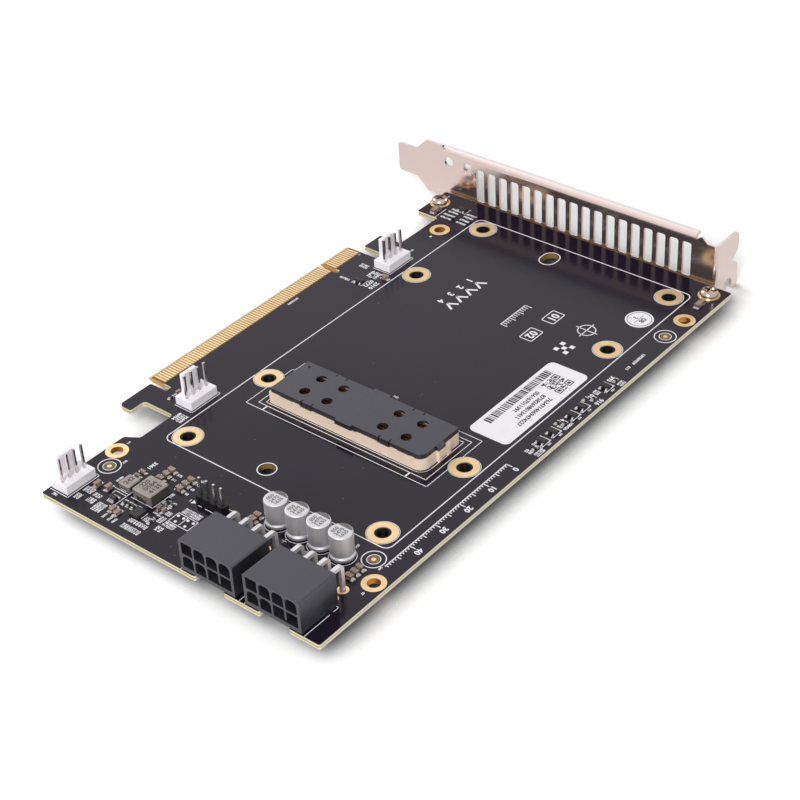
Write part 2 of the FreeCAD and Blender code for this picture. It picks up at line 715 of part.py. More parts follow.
def mezzanine_body():
    half_w = MEZZ_W / 2
    half_l = MEZZ_L / 2
    outline = [
        (MEZZ_X - half_w, MEZZ_Y - half_l, 2 * CORNER_R),
        (MEZZ_X + half_w, MEZZ_Y - half_l, CORNER_R),
        (MEZZ_X + half_w, MEZZ_Y + half_l, MEZZ_BIG_R),
        (MEZZ_X - half_w, MEZZ_Y + half_l, 2 * CORNER_R),
    ]
    body = prism(outline, level(0), V(0, 0, MEZZ_H))
    bosses = []
    for side in (-1, 1):
        end = MEZZ_Y + side * half_l
        low, high = sorted((end - side, end + side * MEZZ_BOSS_D))
        boss_x = (MEZZ_BOSS_X - MEZZ_BOSS_W / 2, MEZZ_BOSS_X + MEZZ_BOSS_W / 2)
        boss = rectangle(*boss_x, low, high, CORNER_R / 2)
        bosses.append(prism(boss, level(0), V(0, 0, MEZZ_BOSS_H)))
    inside = rectangle(
        MEZZ_X - half_w + MEZZ_WALL, MEZZ_X + half_w - MEZZ_WALL,
        MEZZ_Y - half_l + MEZZ_WALL, MEZZ_Y + half_l - MEZZ_WALL, CORNER_R,
    )
    tools = [prism(inside, level(MEZZ_FLOOR), V(0, 0, MEZZ_H))]
    mouth_w, mouth_h, mouth_d = MEZZ_BOSS_MOUTH
    for side in (-1, 1):
        end = MEZZ_Y + side * (half_l + MEZZ_BOSS_D)
        low, high = sorted((end + side, end - side * mouth_d))
        tools.append(block(MEZZ_BOSS_X - mouth_w / 2, MEZZ_BOSS_X + mouth_w / 2, low, high, -1, mouth_h))
    tools += rim_steps(half_w - MEZZ_WALL - 1, half_w + 1, 0)
    for side in (-1, 1):
        x0, x1 = sorted((MEZZ_X + side * (half_w - CAP_LEDGE + FIT), MEZZ_X + side * half_w))
        for middle, length in RIDGES:
            y = MEZZ_Y + middle
            bosses.append(block(x0, x1, y - length / 2, y + length / 2, MEZZ_H - RIDGE_H, MEZZ_H + RIDGE_H))
    return body.fuse(bosses).removeSplitter().cut(tools)


def mezzanine_contacts():
    rows = []
    for x in spread(MEZZ_X, MEZZ_ROW_PITCH, MEZZ_ROW_COUNT):
        rows.append(block(
            x - MEZZ_ROW_W / 2, x + MEZZ_ROW_W / 2, MEZZ_Y - MEZZ_ROW_L / 2, MEZZ_Y + MEZZ_ROW_L / 2,
            MEZZ_FLOOR, MEZZ_FLOOR + MEZZ_ROW_H,
        ))
    return rows


def cap_outline(half_w, half_l, big_r):
    """Outline of the cap, with the one large round of the connector's corner."""
    corners = rectangle(MEZZ_X - half_w, MEZZ_X + half_w, CAP_Y - half_l, CAP_Y + half_l, CORNER_R / 2)
    x, y, _ = corners[2]
    corners[2] = (x, y, big_r)
    return corners


def mezzanine_cap():
    half_w = CAP_W / 2
    half_l = CAP_L / 2
    top = MEZZ_H + CAP_H
    lid = prism(cap_outline(half_w, half_l, CAP_BIG_R), level(MEZZ_H), V(0, 0, CAP_H))
    extras = rim_steps(half_w - CAP_SKIRT, half_w, FIT)
    grip_x = half_w + CAP_GRIP_D
    grip_y = CAP_GRIP_L / 2
    extras.append(block(MEZZ_X - grip_x, MEZZ_X + grip_x, CAP_Y - grip_y, CAP_Y + grip_y, MEZZ_H + FIT, top))
    end = CAP_Y + half_l
    tip = end + CAP_END_D
    low = MEZZ_H + FIT
    wedge = [(end - CAP_SKIRT, low), (tip, low), (tip, low + CAP_END_T), (end, top), (end - CAP_SKIRT, top)]
    extras.append(prism(sharp(wedge), facing_x(CAP_END_X - CAP_END_W / 2), V(CAP_END_W, 0, 0)))
    lid = lid.fuse(extras)

    mark_x, mark_y, mark_r = CAP_MARK
    tools = [rod(MEZZ_X - mark_x, CAP_Y - mark_y, top - CAP_TOP_T / 2, top + 1, mark_r)]
    hollow = cap_outline(half_w - CAP_SKIRT, half_l - CAP_SKIRT, CAP_BIG_R - CAP_SKIRT)
    tools.append(prism(hollow, level(MEZZ_H - 1), V(0, 0, 1 + CAP_H - CAP_TOP_T)))
    for side_x in (-1, 1):
        for side_y in (-1, 1):
            for step in CAP_HOLE_Y:
                x = MEZZ_X + side_x * CAP_HOLE_X
                tools.append(rod(x, CAP_Y + side_y * step, MEZZ_H - 1, top + 1, CAP_HOLE_R))
            for edge_y in (-CAP_CLIP_W / 2, CAP_CLIP_W / 2):
                y = CAP_Y + side_y * CAP_CLIP_Y + edge_y
                x0, x1 = sorted((MEZZ_X + side_x * (half_w - CAP_SLIT_D), MEZZ_X + side_x * (half_w + 1)))
                tools.append(block(x0, x1, y - CAP_SLIT / 2, y + CAP_SLIT / 2, MEZZ_H - 1, top + 1))
    return lid.cut(tools).removeSplitter()


def power_pin(y, level_z, leg_x):
    half = POWER_PIN / 2
    tail = -BOARD_T - PIN_TAIL
    tip = BOARD_REAR - POWER_PIN_TIP
    bent = [
        (tip, level_z - half, 0),
        (tip, level_z + half, 0),
        (leg_x - half, level_z + half, POWER_BEND_R),
        (leg_x - half, tail, 0),
        (leg_x + half, tail, 0),
        (leg_x + half, level_z - half, POWER_BEND_R - POWER_PIN),
    ]
    return prism(bent, facing_y(y - half), V(0, POWER_PIN, 0))


def power_pins(centre):
    pins = []
    for y in power_columns(centre):
        pins.append(power_pin(y, POWER_UPPER_Z, POWER_LEGS["upper"]))
        pins.append(power_pin(y, POWER_LOWER_Z, POWER_LEGS["lower"]))
    return pins


def power_housing(centre):
    back = BOARD_REAR - POWER_D
    low = centre - POWER_W / 2
    high = centre + POWER_W / 2
    top = POWER_LOW + POWER_H
    section = [(low, POWER_LOW, 0), (high, POWER_LOW, 0), (high, top, CORNER_R), (low, top, CORNER_R)]
    body = prism(section, facing_x(back), V(POWER_D, 0, 0))
    extras = [
        block(*POWER_FOOT_X, low, low + POWER_FOOT_W, 0, POWER_LOW),
        block(*POWER_FOOT_X, high - POWER_FOOT_W, high, 0, POWER_LOW),
    ]
    cut_in = BOARD_REAR - POWER_CUT_D
    latch_x = cut_in + POWER_LATCH_FROM
    latch = sharp([
        (latch_x, POWER_LOW),
        (latch_x + POWER_LATCH_L[1], POWER_LOW),
        (latch_x + POWER_LATCH_L[0], POWER_LATCH_LOW),
        (latch_x, POWER_LATCH_LOW),
    ])
    extras.append(prism(latch, facing_y(centre - POWER_LATCH_W / 2), V(0, POWER_LATCH_W, 0)))
    body = body.fuse(extras).removeSplitter()

    half = POWER_CELL / 2
    floor_x = BOARD_REAR - POWER_CELL_D
    deep = V(POWER_CELL_D + 1, 0, 0)
    bore = POWER_PIN / 2 + FIT
    tools = []
    for row, z in (("upper", POWER_UPPER_Z), ("lower", POWER_LOWER_Z)):
        for y, crown in zip(power_columns(centre), ROUNDED[row]):
            r = POWER_CELL_R if crown else 0
            cell = rectangle(y - half, y + half, z - half, z + half)
            cell[2:] = [(a, b, r) for a, b, _ in cell[2:]]
            tools.append(prism(cell, facing_x(floor_x), deep))
            tools.append(block(back - 1, floor_x + 1, y - bore, y + bore, z - bore, z + bore))
    # the two square cells of the lower row are open to each other along their floor
    columns = power_columns(centre)
    sill = POWER_LOWER_Z - half
    tools.append(block(floor_x, BOARD_REAR + 1, columns[2], columns[3], sill, sill + POWER_LINK_H))
    return body.cut(tools)


def edges_at(solid, height):
    return [edge for edge in solid.Edges if all(abs(v.Z - height) < 1e-6 for v in edge.Vertexes)]


def square_posts(places, side, high):
    half = side / 2
    posts = []
    for x, y in places:
        post = block(x - half, x + half, y - half, y + half, -BOARD_T - PIN_TAIL, high)
        posts.append(post.makeChamfer(POST_TIP, edges_at(post, high)))
    return posts


def post_sleeves(places, side, high):
    half = side / 2 + FIT
    return [block(x - half, x + half, y - half, y + half, -1, high + 1) for x, y in places]


def fan_body(corner):
    x, y = corner
    base = block(x, x + FAN_W, y - FAN_D, y, 0, FAN_H)
    wall = block(x + FAN_WALL_X[0], x + FAN_WALL_X[1], y - FAN_D, y - FAN_D + FAN_WALL_T, 0, FAN_WALL_H)
    body = base.fuse(wall).removeSplitter()
    return body.cut(post_sleeves(fan_pin_places(corner), FAN_PIN, FAN_H))


def header_body():
    half = HEADER_BODY / 2
    right = []
    left = []
    for _, y in header_pin_places():
        right += [(HEADER_X + half - HEADER_NICK, y - half), (HEADER_X + half, y - half + HEADER_NICK)]
        right += [(HEADER_X + half, y + half - HEADER_NICK), (HEADER_X + half - HEADER_NICK, y + half)]
    for _, y in reversed(header_pin_places()):
        left += [(HEADER_X - half + HEADER_NICK, y + half), (HEADER_X - half, y + half - HEADER_NICK)]
        left += [(HEADER_X - half, y - half + HEADER_NICK), (HEADER_X - half + HEADER_NICK, y - half)]
    outline = []
    for point in right + left:
        if not outline or (V(*point, 0) - V(*outline[-1], 0)).Length > 1e-6:
            outline.append(point)
    body = prism(sharp(outline), level(0), V(0, 0, HEADER_H))
    return body.cut(post_sleeves(header_pin_places(), FAN_PIN, HEADER_H))


def can(x, y):
    lip_top = CAN_BASE + CAN_LIP_H
    groove = lip_top + CAN_GROOVE_H
    profile = [
        (0, SEAL_H, 0),
        (SEAL_R, SEAL_H, 0),
        (SEAL_R, CAN_BASE, 0),
        (CAN_LIP_R, CAN_BASE, CAN_LIP_ROUND),
        (CAN_LIP_R, lip_top, CAN_GROOVE_ROUND),
        (CAN_R - CAN_GROOVE, groove, CAN_GROOVE_ROUND),
        (CAN_R, groove + CAN_GROOVE_H, CAN_GROOVE_ROUND / 2),
        (CAN_R, CAN_H, CAN_ROUND),
        (0, CAN_H, 0),
    ]
    return turned(profile, x, y)


def seal(x, y):
    disc = rod(x, y, 0, SEAL_H, SEAL_R)
    return disc.cut([rod(x, y + side * LEAD_SPAN / 2, -1, SEAL_H + 1, LEAD_R + FIT) for side in (-1, 1)])


def coil_body(spec):
    x, y, length, width, height = spec
    outline = rectangle(x - length / 2, x + length / 2, y - width / 2, y + width / 2, CORNER_R)
    body = prism(outline, level(0), V(0, 0, height))
    return body.makeChamfer(COIL_CHAMFER, edges_at(body, height))


def coil_terminals(spec):
    x, y, length, width, height = spec
    half = width * COIL_TERMINAL_W / 2
    strips = []
    for side in (-1, 1):
        x0, x1 = sorted((x + side * length / 2, x + side * (length / 2 + COIL_TERMINAL_T)))
        strips.append(block(x0, x1, y - half, y + half, 0, height * COIL_TERMINAL_H))
    return strips


def gull_lead(x, y, side, width):
    """Formed chip lead that leaves the body at x towards side and lands flat on the board."""
    t = CHIP_LEAD_T
    r = CHIP_LEAD_REACH
    high = CHIP_H / 2
    path = [
        (0, high),
        (r * LEAD_KNEE, high),
        (r * LEAD_HEEL, t),
        (r, t),
        (r, 0),
        (r * (LEAD_HEEL - LEAD_STEP), 0),
        (r * (LEAD_KNEE - LEAD_STEP), high - t),
        (0, high - t),
    ]
    points = sharp([(x + side * a, b) for a, b in path])
    return prism(points, facing_y(y - width / 2), V(0, width, 0))


def controller_leads():
    x, y = CONTROLLER
    leads = []
    for side in (-1, 1):
        for lead_y in spread(y, CONTROLLER_PITCH, CONTROLLER_LEAD_COUNT):
            leads.append(gull_lead(x + side * CONTROLLER_W / 2, lead_y, side, CONTROLLER_LEAD_W))
    return leads


def transistor_leads():
    leads = []
    for x, y in TRANSISTORS:
        leads.append(gull_lead(x - TRANSISTOR_W / 2, y, -1, TRANSISTOR_LEAD_W))
        leads.append(gull_lead(x + TRANSISTOR_W / 2, y - TRANSISTOR_LEAD_Y, 1, TRANSISTOR_LEAD_W))
        leads.append(gull_lead(x + TRANSISTOR_W / 2, y + TRANSISTOR_LEAD_Y, 1, TRANSISTOR_LEAD_W))
    return leads


def chip_body(x, y, length, width, height):
    return block(x - length / 2, x + length / 2, y - width / 2, y + width / 2, 0, height)


def two_terminal(x, y, size, end_share, along_x):
    """Middle and two metal ends of a small block-shaped part."""
    length, width, height = size
    end = length * end_share
    marks = (-length / 2, -length / 2 + end, length / 2 - end, length / 2)
    pieces = []
    for low, high in zip(marks[:-1], marks[1:]):
        if along_x:
            pieces.append(block(x + low, x + high, y - width / 2, y + width / 2, 0, height))
        else:
            pieces.append(block(x - width / 2, x + width / 2, y + low, y + high, 0, height))
    return [pieces[1]], [pieces[0], pieces[2]]


def ceramics():
    bodies = []
    ends = []
    for table, along_x in ((CERAMICS_ALONG_X, True), (CERAMICS_ALONG_Y, False)):
        for name, places in table.items():
            for x, y in places:
                middle, metal = two_terminal(x, y, CERAMIC_SIZES[name], CERAMIC_END, along_x)
                bodies += middle
                ends += metal
    return bodies, ends


def resistors():
    bodies = []
    ends = []
    for x, y in RESISTORS:
        middle, metal = two_terminal(x, y, RESISTOR, RESISTOR_END, True)
        bodies += middle
        ends += metal
    return bodies, ends


def main():
    os.makedirs("parts", exist_ok=True)
    save("circuit_board", [circuit_board()])
    save("edge_contacts_top", edge_contacts(0))
    save("edge_contacts_back", edge_contacts(-BOARD_T - CONTACT_T))
    save("module_pads", [flat_ring(x, y, MODULE_PAD_R, INSERT_R + FIT) for x, y in module_holes()])
    save("plated_holes", [plated_hole(x, y) for x, y in corner_holes()])
    save("screw_pads", [flat_ring(x, y, SCREW_PAD_R, SCREW_R + FIT) for x, y in SCREWS])
    save("threaded_inserts", [threaded_insert(x, y) for x, y in module_holes()])
    save("bracket", [bracket()])
    save("bracket_screws", [bracket_screw(x, y) for x, y in SCREWS])
    save("mezzanine_body", [mezzanine_body()])
    save("mezzanine_contacts", mezzanine_contacts())
    save("mezzanine_cap", [mezzanine_cap()])
    for i, centre in enumerate(POWER_Y, 1):
        save("power_housing_%d" % i, [power_housing(centre)])
        save("power_pins_%d" % i, power_pins(centre))
    for i, corner in enumerate(FAN_AT, 1):
        save("fan_header_%d" % i, [fan_body(corner)])
        save("fan_pins_%d" % i, square_posts(fan_pin_places(corner), FAN_PIN, FAN_PIN_HIGH))
    save("pin_header", [header_body()])
    save("pin_header_pins", square_posts(header_pin_places(), FAN_PIN, HEADER_PIN_HIGH))
    for i, (x, y) in enumerate(can_places(), 1):
        save("capacitor_can_%d" % i, [can(x, y)])
    save("capacitor_seals", [seal(x, y) for x, y in can_places()])
    save("capacitor_leads", [rod(x, y, -BOARD_T - PIN_TAIL, SEAL_H, LEAD_R) for x, y in lead_places()])
    save("inductor_large", [coil_body(COIL_LARGE)])
    save("inductor_large_terminals", coil_terminals(COIL_LARGE))
    save("inductor_small", [coil_body(COIL_SMALL)])
    save("inductor_small_terminals", coil_terminals(COIL_SMALL))
    save("converter_chip", [chip_body(*CONVERTER)])
    save("controller_chip", [chip_body(*CONTROLLER, CONTROLLER_W, CONTROLLER_L, CHIP_H)])
    save("controller_leads", controller_leads())
    save("transistors", [chip_body(x, y, TRANSISTOR_W, TRANSISTOR_L, CHIP_H) for x, y in TRANSISTORS])
    save("transistor_leads", transistor_leads())
    bodies, ends = ceramics()
    save("ceramic_bodies", bodies)
    save("ceramic_ends", ends)
    bodies, ends = resistors()
    save("resistor_bodies", bodies)
    save("resistor_ends", ends)
    save("label", [prism(rectangle(*LABEL, LABEL_R), level(0), V(0, 0, PAPER_T))])
    save("sticker", [rod(*STICKER, 0, PAPER_T, STICKER_R)])


main()
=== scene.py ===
import json
import math
import random

import bmesh
import bpy
from bpy.props import FloatProperty, FloatVectorProperty, PointerProperty
from mathutils import Matrix, Vector


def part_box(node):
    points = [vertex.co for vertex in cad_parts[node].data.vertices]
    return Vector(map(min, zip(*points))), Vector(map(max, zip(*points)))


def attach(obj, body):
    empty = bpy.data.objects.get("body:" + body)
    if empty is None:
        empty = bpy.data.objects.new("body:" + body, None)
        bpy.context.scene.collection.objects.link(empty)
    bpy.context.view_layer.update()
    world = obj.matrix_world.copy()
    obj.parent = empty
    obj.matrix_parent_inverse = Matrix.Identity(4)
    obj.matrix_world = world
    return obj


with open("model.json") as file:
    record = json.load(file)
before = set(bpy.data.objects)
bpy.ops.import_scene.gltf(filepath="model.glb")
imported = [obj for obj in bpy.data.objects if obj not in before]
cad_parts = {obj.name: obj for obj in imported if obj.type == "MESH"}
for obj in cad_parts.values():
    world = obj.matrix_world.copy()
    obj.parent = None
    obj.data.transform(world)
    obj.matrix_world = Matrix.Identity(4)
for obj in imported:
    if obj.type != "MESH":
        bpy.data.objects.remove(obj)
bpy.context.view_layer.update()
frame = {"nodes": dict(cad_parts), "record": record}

bl_info = {
    "name": "Adapter card dressing",
    "version": (1, 0, 0),
    "blender": (4, 5, 0),
    "location": "View3D > Sidebar > Card",
    "description": "Finishes, print, solder and studio for a slot adapter card",
    "category": "Object",
}

MM = 0.001
# corners of the CAD triangles that are closer than this, in millimetres, are one corner
JOIN_GAP = 0.001
BOARD_LOW, BOARD_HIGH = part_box("circuit_board")
BOARD_T = (BOARD_HIGH.z - BOARD_LOW.z) / MM
# Card millimetres: u runs from the printed outline's front line to the rear edge, v from its lower line to
# the top edge, z up from the component face.
FRONT_MARGIN = 7.6
TOP_EDGE = 86.6
DATUM = Vector((BOARD_LOW.x + FRONT_MARGIN * MM, BOARD_HIGH.y - TOP_EDGE * MM, BOARD_HIGH.z))
BACK_FACE = -BOARD_T

# printed outline of the module and of its connector: u from, u to, v from, v to, corner radius
MODULE_LINE = (0, 140, 0, 78, 2.2)
CONNECTOR_LINE = (93.4, 112.9, 9.7, 68.3, 0)
CONNECTOR_FRAME = ((91.4, 70.25), (115.0, 70.25), (115.0, 6.85), (95.8, 6.85), (95.8, 7.7), (91.4, 7.7))
# innermost line, which follows the connector's one round corner: u from, u to, v from, v to, radius
CONNECTOR_HUG = (94.6, 111.7, 11.35, 66.6, 3.2)
# bars that join the connector's frame to the line inside it: u from, u to, v from, v to
JOINING_BARS = ((112.9, 115.0, 62.85, 63.3), (112.9, 115.0, 12.7, 13.15))
# printed lines round the locating hole, with its middle and the line's radius, and round the locating slot
LOCATE_HOLE = (133.6, 31.8)
LOCATE_HOLE_R = 2.6
LOCATE_SLOT = (3.35, 10.45, 29.05, 34.55, 2.75)
LOCATE_WIDTH = 0.3
# round and slotted locating hole: middle, and a reach that holds its wall
LOCATE_WALLS = ((LOCATE_HOLE, 3.2), ((6.9, 31.8), 4.6))
# widths of the printed rings round the module pads and the cans, and the gap between can and ring
PAD_RING_WIDTH = 0.16
CAN_RING_WIDTH = 0.2
CAN_RING_GAP = 0.25

# alignment targets: middles, radius and width of the printed rings, radii of the bare window and the dot
TARGETS = ((22.4, 82.9), (144.6, 77.4), (157.0, -3.1))
TARGET_RINGS = ((3.1, 0.28), (1.75, 0.2))
TARGET_WINDOW = 1.6
TARGET_DOT = 0.62

# small crosses by the capacitor cans, and the length of their arms
CROSSES = ((152.4, 54.9), (152.3, 62.3))
CROSS_ARM = 0.8
# seeds of the random numbers on the board and on the label
NUMBER_SEED = 11
LABEL_SEED = 5
# height of a number as a share of its row, and its advance as a share of its height
ROW_FILL = 0.8
DIGIT_RUN = 0.78
# height and added stroke of a number as shares of the font's own size
FONT_SHARE = 0.72
DIGIT_WEIGHT = 0.03

# places of printed numbers: u from, u to, v from, v to, rows, upright
NUMBER_BLOCKS = (
    (-0.5, 0.5, -11.4, -7.0, 1, True), (-0.5, 0.5, -5.4, -1.2, 1, True),
    (1.1, 2.1, -11.6, -7.0, 1, True), (1.1, 2.1, -5.4, -1.2, 1, True), (3.1, 4.2, -11.6, -7.0, 1, True),
    (3.1, 4.2, -5.4, -1.2, 1, True), (5.0, 6.1, -11.6, -7.0, 1, True), (5.0, 6.1, -5.4, -1.2, 1, True),
    (16.4, 17.8, -6.6, -5.7, 1, False), (26.0, 27.8, -6.3, -5.3, 1, False),
    (41.2, 43.4, -13.8, -10.1, 2, True), (42.6, 46.4, -8.2, -4.3, 3, False),
    (47.1, 51.3, -3.4, -1.6, 1, False), (47.1, 51.3, -5.5, -3.7, 1, False),
    (50.5, 51.6, -14.2, -10.4, 1, True), (67.0, 72.0, -17.2, -16.2, 1, False),
    (88.8, 89.8, 38.0, 40.0, 1, True), (128.8, 132.8, -4.9, -1.1, 3, False),
    (40.2, 42.8, 82.3, 83.5, 1, False), (32.5, 39.6, 82.3, 83.5, 1, False),
    (47.1, 49.8, 84.5, 86.3, 2, False), (47.1, 49.8, 81.1, 82.7, 1, False),
    (55.0, 56.8, 81.2, 83.4, 2, False), (57.3, 61.0, 84.4, 86.2, 1, False),
    (57.3, 59.2, 81.2, 82.9, 1, False), (70.8, 75.0, 84.3, 85.5, 1, False),
    (70.8, 72.2, 81.2, 82.8, 1, False), (74.0, 75.0, 82.4, 84.0, 1, True),
    (84.4, 88.6, 84.4, 86.2, 2, False), (84.4, 85.2, 81.3, 84.0, 1, True),
    (87.3, 88.6, 81.6, 84.0, 2, False), (51.8, 53.1, 84.9, 85.7, 1, False),
    (62.9, 64.6, 84.9, 85.7, 1, False), (67.6, 68.9, 84.9, 85.7, 1, False),
    (76.3, 77.9, 84.9, 85.7, 1, False), (81.4, 82.8, 84.9, 85.7, 1, False),
    (155.0, 156.3, 82.7, 83.6, 1, False), (145.4, 147.1, 80.4, 81.2, 1, False),
    (157.4, 159.7, 25.6, 32.4, 3, True), (164.2, 166.2, 25.0, 29.6, 2, True),
    (166.6, 168.5, 24.9, 27.2, 2, False), (161.0, 162.8, 22.9, 24.8, 2, False),
    (163.3, 166.0, 23.1, 24.9, 2, False), (163.3, 164.0, 20.0, 22.6, 1, True),
    (165.6, 167.8, 20.0, 21.7, 2, False), (158.0, 160.2, 21.3, 22.1, 1, False),
    (158.4, 160.0, 19.2, 20.0, 1, False), (168.3, 170.2, 17.0, 23.4, 7, False),
    (170.8, 172.8, 17.0, 23.4, 8, False), (147.0, 147.9, 20.9, 22.5, 1, True),
    (148.7, 149.6, 21.2, 22.7, 1, True), (150.8, 151.8, 21.2, 22.7, 1, True),
    (153.0, 154.0, 21.2, 22.7, 1, True), (148.6, 149.6, 14.2, 16.0, 1, True),
    (150.8, 151.8, 14.2, 16.0, 1, True), (148.4, 152.2, 5.4, 6.9, 1, False),
    (157.8, 160.6, 2.7, 3.6, 1, False), (155.3, 157.1, 19.0, 19.8, 1, False),
    (170.8, 173.0, 14.0, 14.9, 1, False), (170.8, 173.0, 12.4, 13.3, 1, False),
    (170.8, 173.0, 10.4, 11.3, 1, False), (168.5, 172.5, 5.6, 8.8, 4, False),
    (166.6, 168.2, 2.1, 4.8, 3, False), (168.7, 170.8, 2.1, 4.8, 3, False),
    (165.8, 168.4, -1.6, 1.6, 4, False), (169.4, 171.6, -1.6, 0.4, 2, False),
    (152.5, 154.2, -1.5, -0.6, 1, False), (146.3, 147.6, -6.8, -6.0, 1, False),
    (173.1, 174.2, -7.2, -4.9, 1, True), (4.1, 5.2, -16.2, -15.3, 1, False),
    (163.9, 164.7, 15.2, 16.6, 1, True), (142.4, 144.1, 70.4, 71.4, 1, False),
)
# short printed strokes: u from, v from, u to, v to
STROKES = (
    (160.8, 9.9, 167.5, 9.9), (162.4, 4.7, 162.4, 9.9), (155.4, 18.9, 162.4, 18.9),
    (162.7, 11.0, 162.7, 18.9), (167.9, 16.2, 167.9, 18.5), (164.9, 19.5, 167.4, 19.5),
    (163.2, 10.0, 163.2, 6.0), (163.2, 5.8, 164.4, 5.8), (168.4, 9.6, 168.4, 8.9),
    (163.0, 81.75, 164.6, 81.75), (166.0, 81.75, 175.1, 81.75), (162.8, 81.75, 162.8, 81.0),
    (163.0, 60.9, 175.1, 60.9), (166.0, 41.3, 175.1, 41.3), (163.0, 41.3, 164.6, 41.3),
    (166.0, 62.6, 175.1, 62.6), (155.0, 27.6, 155.0, 28.9), (155.0, 30.0, 155.0, 37.4),
    (151.5, 25.2, 151.5, 37.4), (151.5, 37.4, 155.0, 37.4), (154.2, 24.6, 155.2, 24.6),
    (-2.9, -5.7, 0.7, -5.7), (-2.9, -9.5, 0.7, -9.5), (48.1, -5.6, 51.7, -5.6),
    (48.1, -9.2, 51.7, -9.2), (-6.2, -16.8, -4.8, -16.8), (37.6, -17.5, 38.5, -17.5),
    (1.2, -12.5, 7.0, -12.5),
)
# printed frames of the small three-lead parts along the top edge, and the bars of one, from its middle:
# u from, u to, v from, v to
SMALL_FRAMES = ((52.6, 83.0), (63.9, 83.0), (68.6, 83.0), (77.6, 83.1), (82.6, 83.1))
SMALL_FRAME_BARS = ((-2.1, -1.8, -1.9, 1.4), (-2.1, 2.1, 1.36, 1.66), (1.8, 2.1, 0.9, 1.62))
# fan headers, and the printed line round three sides of each: its inner and outer distance from the body
FAN_HEADERS = ("fan_header_1", "fan_header_2", "fan_header_3")
FAN_LINE = (0.4, 0.6)
# wiring guide of the pin header: u from, u to, v from, v to; its dots, from the corner of either half
GUIDE = (160.0, 163.9, 25.7, 32.5)
GUIDE_DOTS = ((0.9, 0.7), (0.9, 2.6), (3.0, 1.65))
GUIDE_DOT_R = 0.42
# triangle at the pin header's first pin, and the reach of its corners
FIRST_PIN = (154.75, 25.75)
FIRST_PIN_R = 0.85

# cross target on the open field: middle, radius of the ring, reach of the arms, width of the lines
CROSS_TARGET = (32.5, 63.0)
CROSS_TARGET_R = 2.6
CROSS_TARGET_REACH = 3.6
FIELD_LINE = 0.3
# step squares: first corner, squares a side, their pitch and their side
STEP_SQUARES = (41.2, 60.6)
STEP_COUNT = 3
STEP_PITCH = 1.6
STEP_SIDE = 1.4
# number windows: corners, width and height, corner radius, height of the numbers
WINDOWS = ((29.6, 49.2), (40.4, 49.2))
WINDOW_SIZE = (5.8, 4.2)
WINDOW_ROUND = 0.5
WINDOW_NUMBER = 2.6
# short scale: start, length, widths of base line and ticks, ticks to a long one, long and short height
SCALE_START = (32.0, 41.0)
SCALE_LENGTH = 12
SCALE_WIDTHS = (0.34, 0.28)
SCALE_LONG = 4
SCALE_TICKS = (2.4, 1.6)
# arrow row: first tip, number of arrows, pitch, half width, height and line width, then the v and the height
# of the numbers below
ARROW_TIP = (30.5, 21.6)
ARROW_COUNT = 4
ARROW_PITCH = 4.6
ARROW_HALF = 1.7
ARROW_HEIGHT = 3.0
ARROW_LINE = 0.7
ARROW_NUMBER_V = 19.2
ARROW_NUMBER = 2.2
# ruler along the top edge: u from and u to of the base line, its v, first tick, number of ticks, widths of
# base line and ticks, heights of every tenth, fifth and other tick, then start and height of the numbers
RULER = (95.5, 145.0)
RULER_V = 81.3
RULER_FIRST = 95.6
RULER_COUNT = 50
RULER_WIDTHS = (0.38, 0.3)
RULER_TICKS = (1.9, 1.4, 0.8)
RULER_NUMBERS = (95.9, 84.4)
RULER_NUMBER = 1.7

# thickness of label and sticker
PAPER_T = 0.12
# pattern square on the label: corner, side of a cell, cells a side, cells of a corner frame, dark share
SQUARE_AT = (55.5, 68.1)
SQUARE_CELL = 0.32
SQUARE_COUNT = 21
SQUARE_FRAME = 7
SQUARE_FILL = 0.48
# bars on the label: u from, u to, v from, v to, and the widths of bars and gaps
LABEL_BARS = (55.5, 83.6, 64.9, 67.5)
BAR_WIDTHS = (0.26, 0.26, 0.4, 0.6)
BAR_GAPS = (0.2, 0.28, 0.44)
# rows of numbers on the label: middle and number of digits, and the height of all
LABEL_ROWS = ((73.0, 73.9, 16), (71.8, 71.6, 14), (70.6, 69.3, 12))
LABEL_NUMBER = 1.35
# round sticker: middle, radius and width of its ring, its numbers with their rise and height, and its stroke
# with half its length, its rise and its width
STICKER = (19.3, 72.2)
STICKER_RING = (3.55, 0.22)
STICKER_NUMBERS = (("08", 1.0, 1.7), ("2", -1.3, 1.3))
STICKER_STROKE = (2.4, -0.15, 0.18)

# cans, and the polarity segment on each: radius of its arc, and how far its straight side is from the middle
CANS = ("capacitor_can_1", "capacitor_can_2", "capacitor_can_3", "capacitor_can_4")
CAN_MARK_R = 2.85
CAN_MARK_SIDE = 1.6
# numbers on a can: rows, height, pitch of the rows, shift from the can's middle
CAN_ROWS = ("050", "2470", "1635")
CAN_NUMBER = 1.1
CAN_ROW_PITCH = 1.35
CAN_NUMBER_SHIFT = 0.45
# numbers on the inductors, their height and the pitch of the rows
CORE_ROWS = (("inductor_large", ("220", "0584", "4135")), ("inductor_small", ("242",)))
CORE_NUMBER = 1.5
CORE_ROW_PITCH = 1.875

# gold ring pads at the power pins: middle radius and width
RING_PAD = (1.2, 0.75)
# vias: radius and places
VIA_R = 0.14
VIAS = (
    (77.5, 43.5), (84.0, 44.0), (85.0, 44.2), (80.5, 23.5), (54.0, 14.0), (55.8, 4.8), (118.5, 52.0),
    (121.6, 47.5), (126.0, 20.4), (131.2, 56.0), (142.6, 24.0), (145.3, 33.2), (144.0, 8.6),
    (142.3, 62.4), (170.6, 33.4), (172.4, 36.5),
)
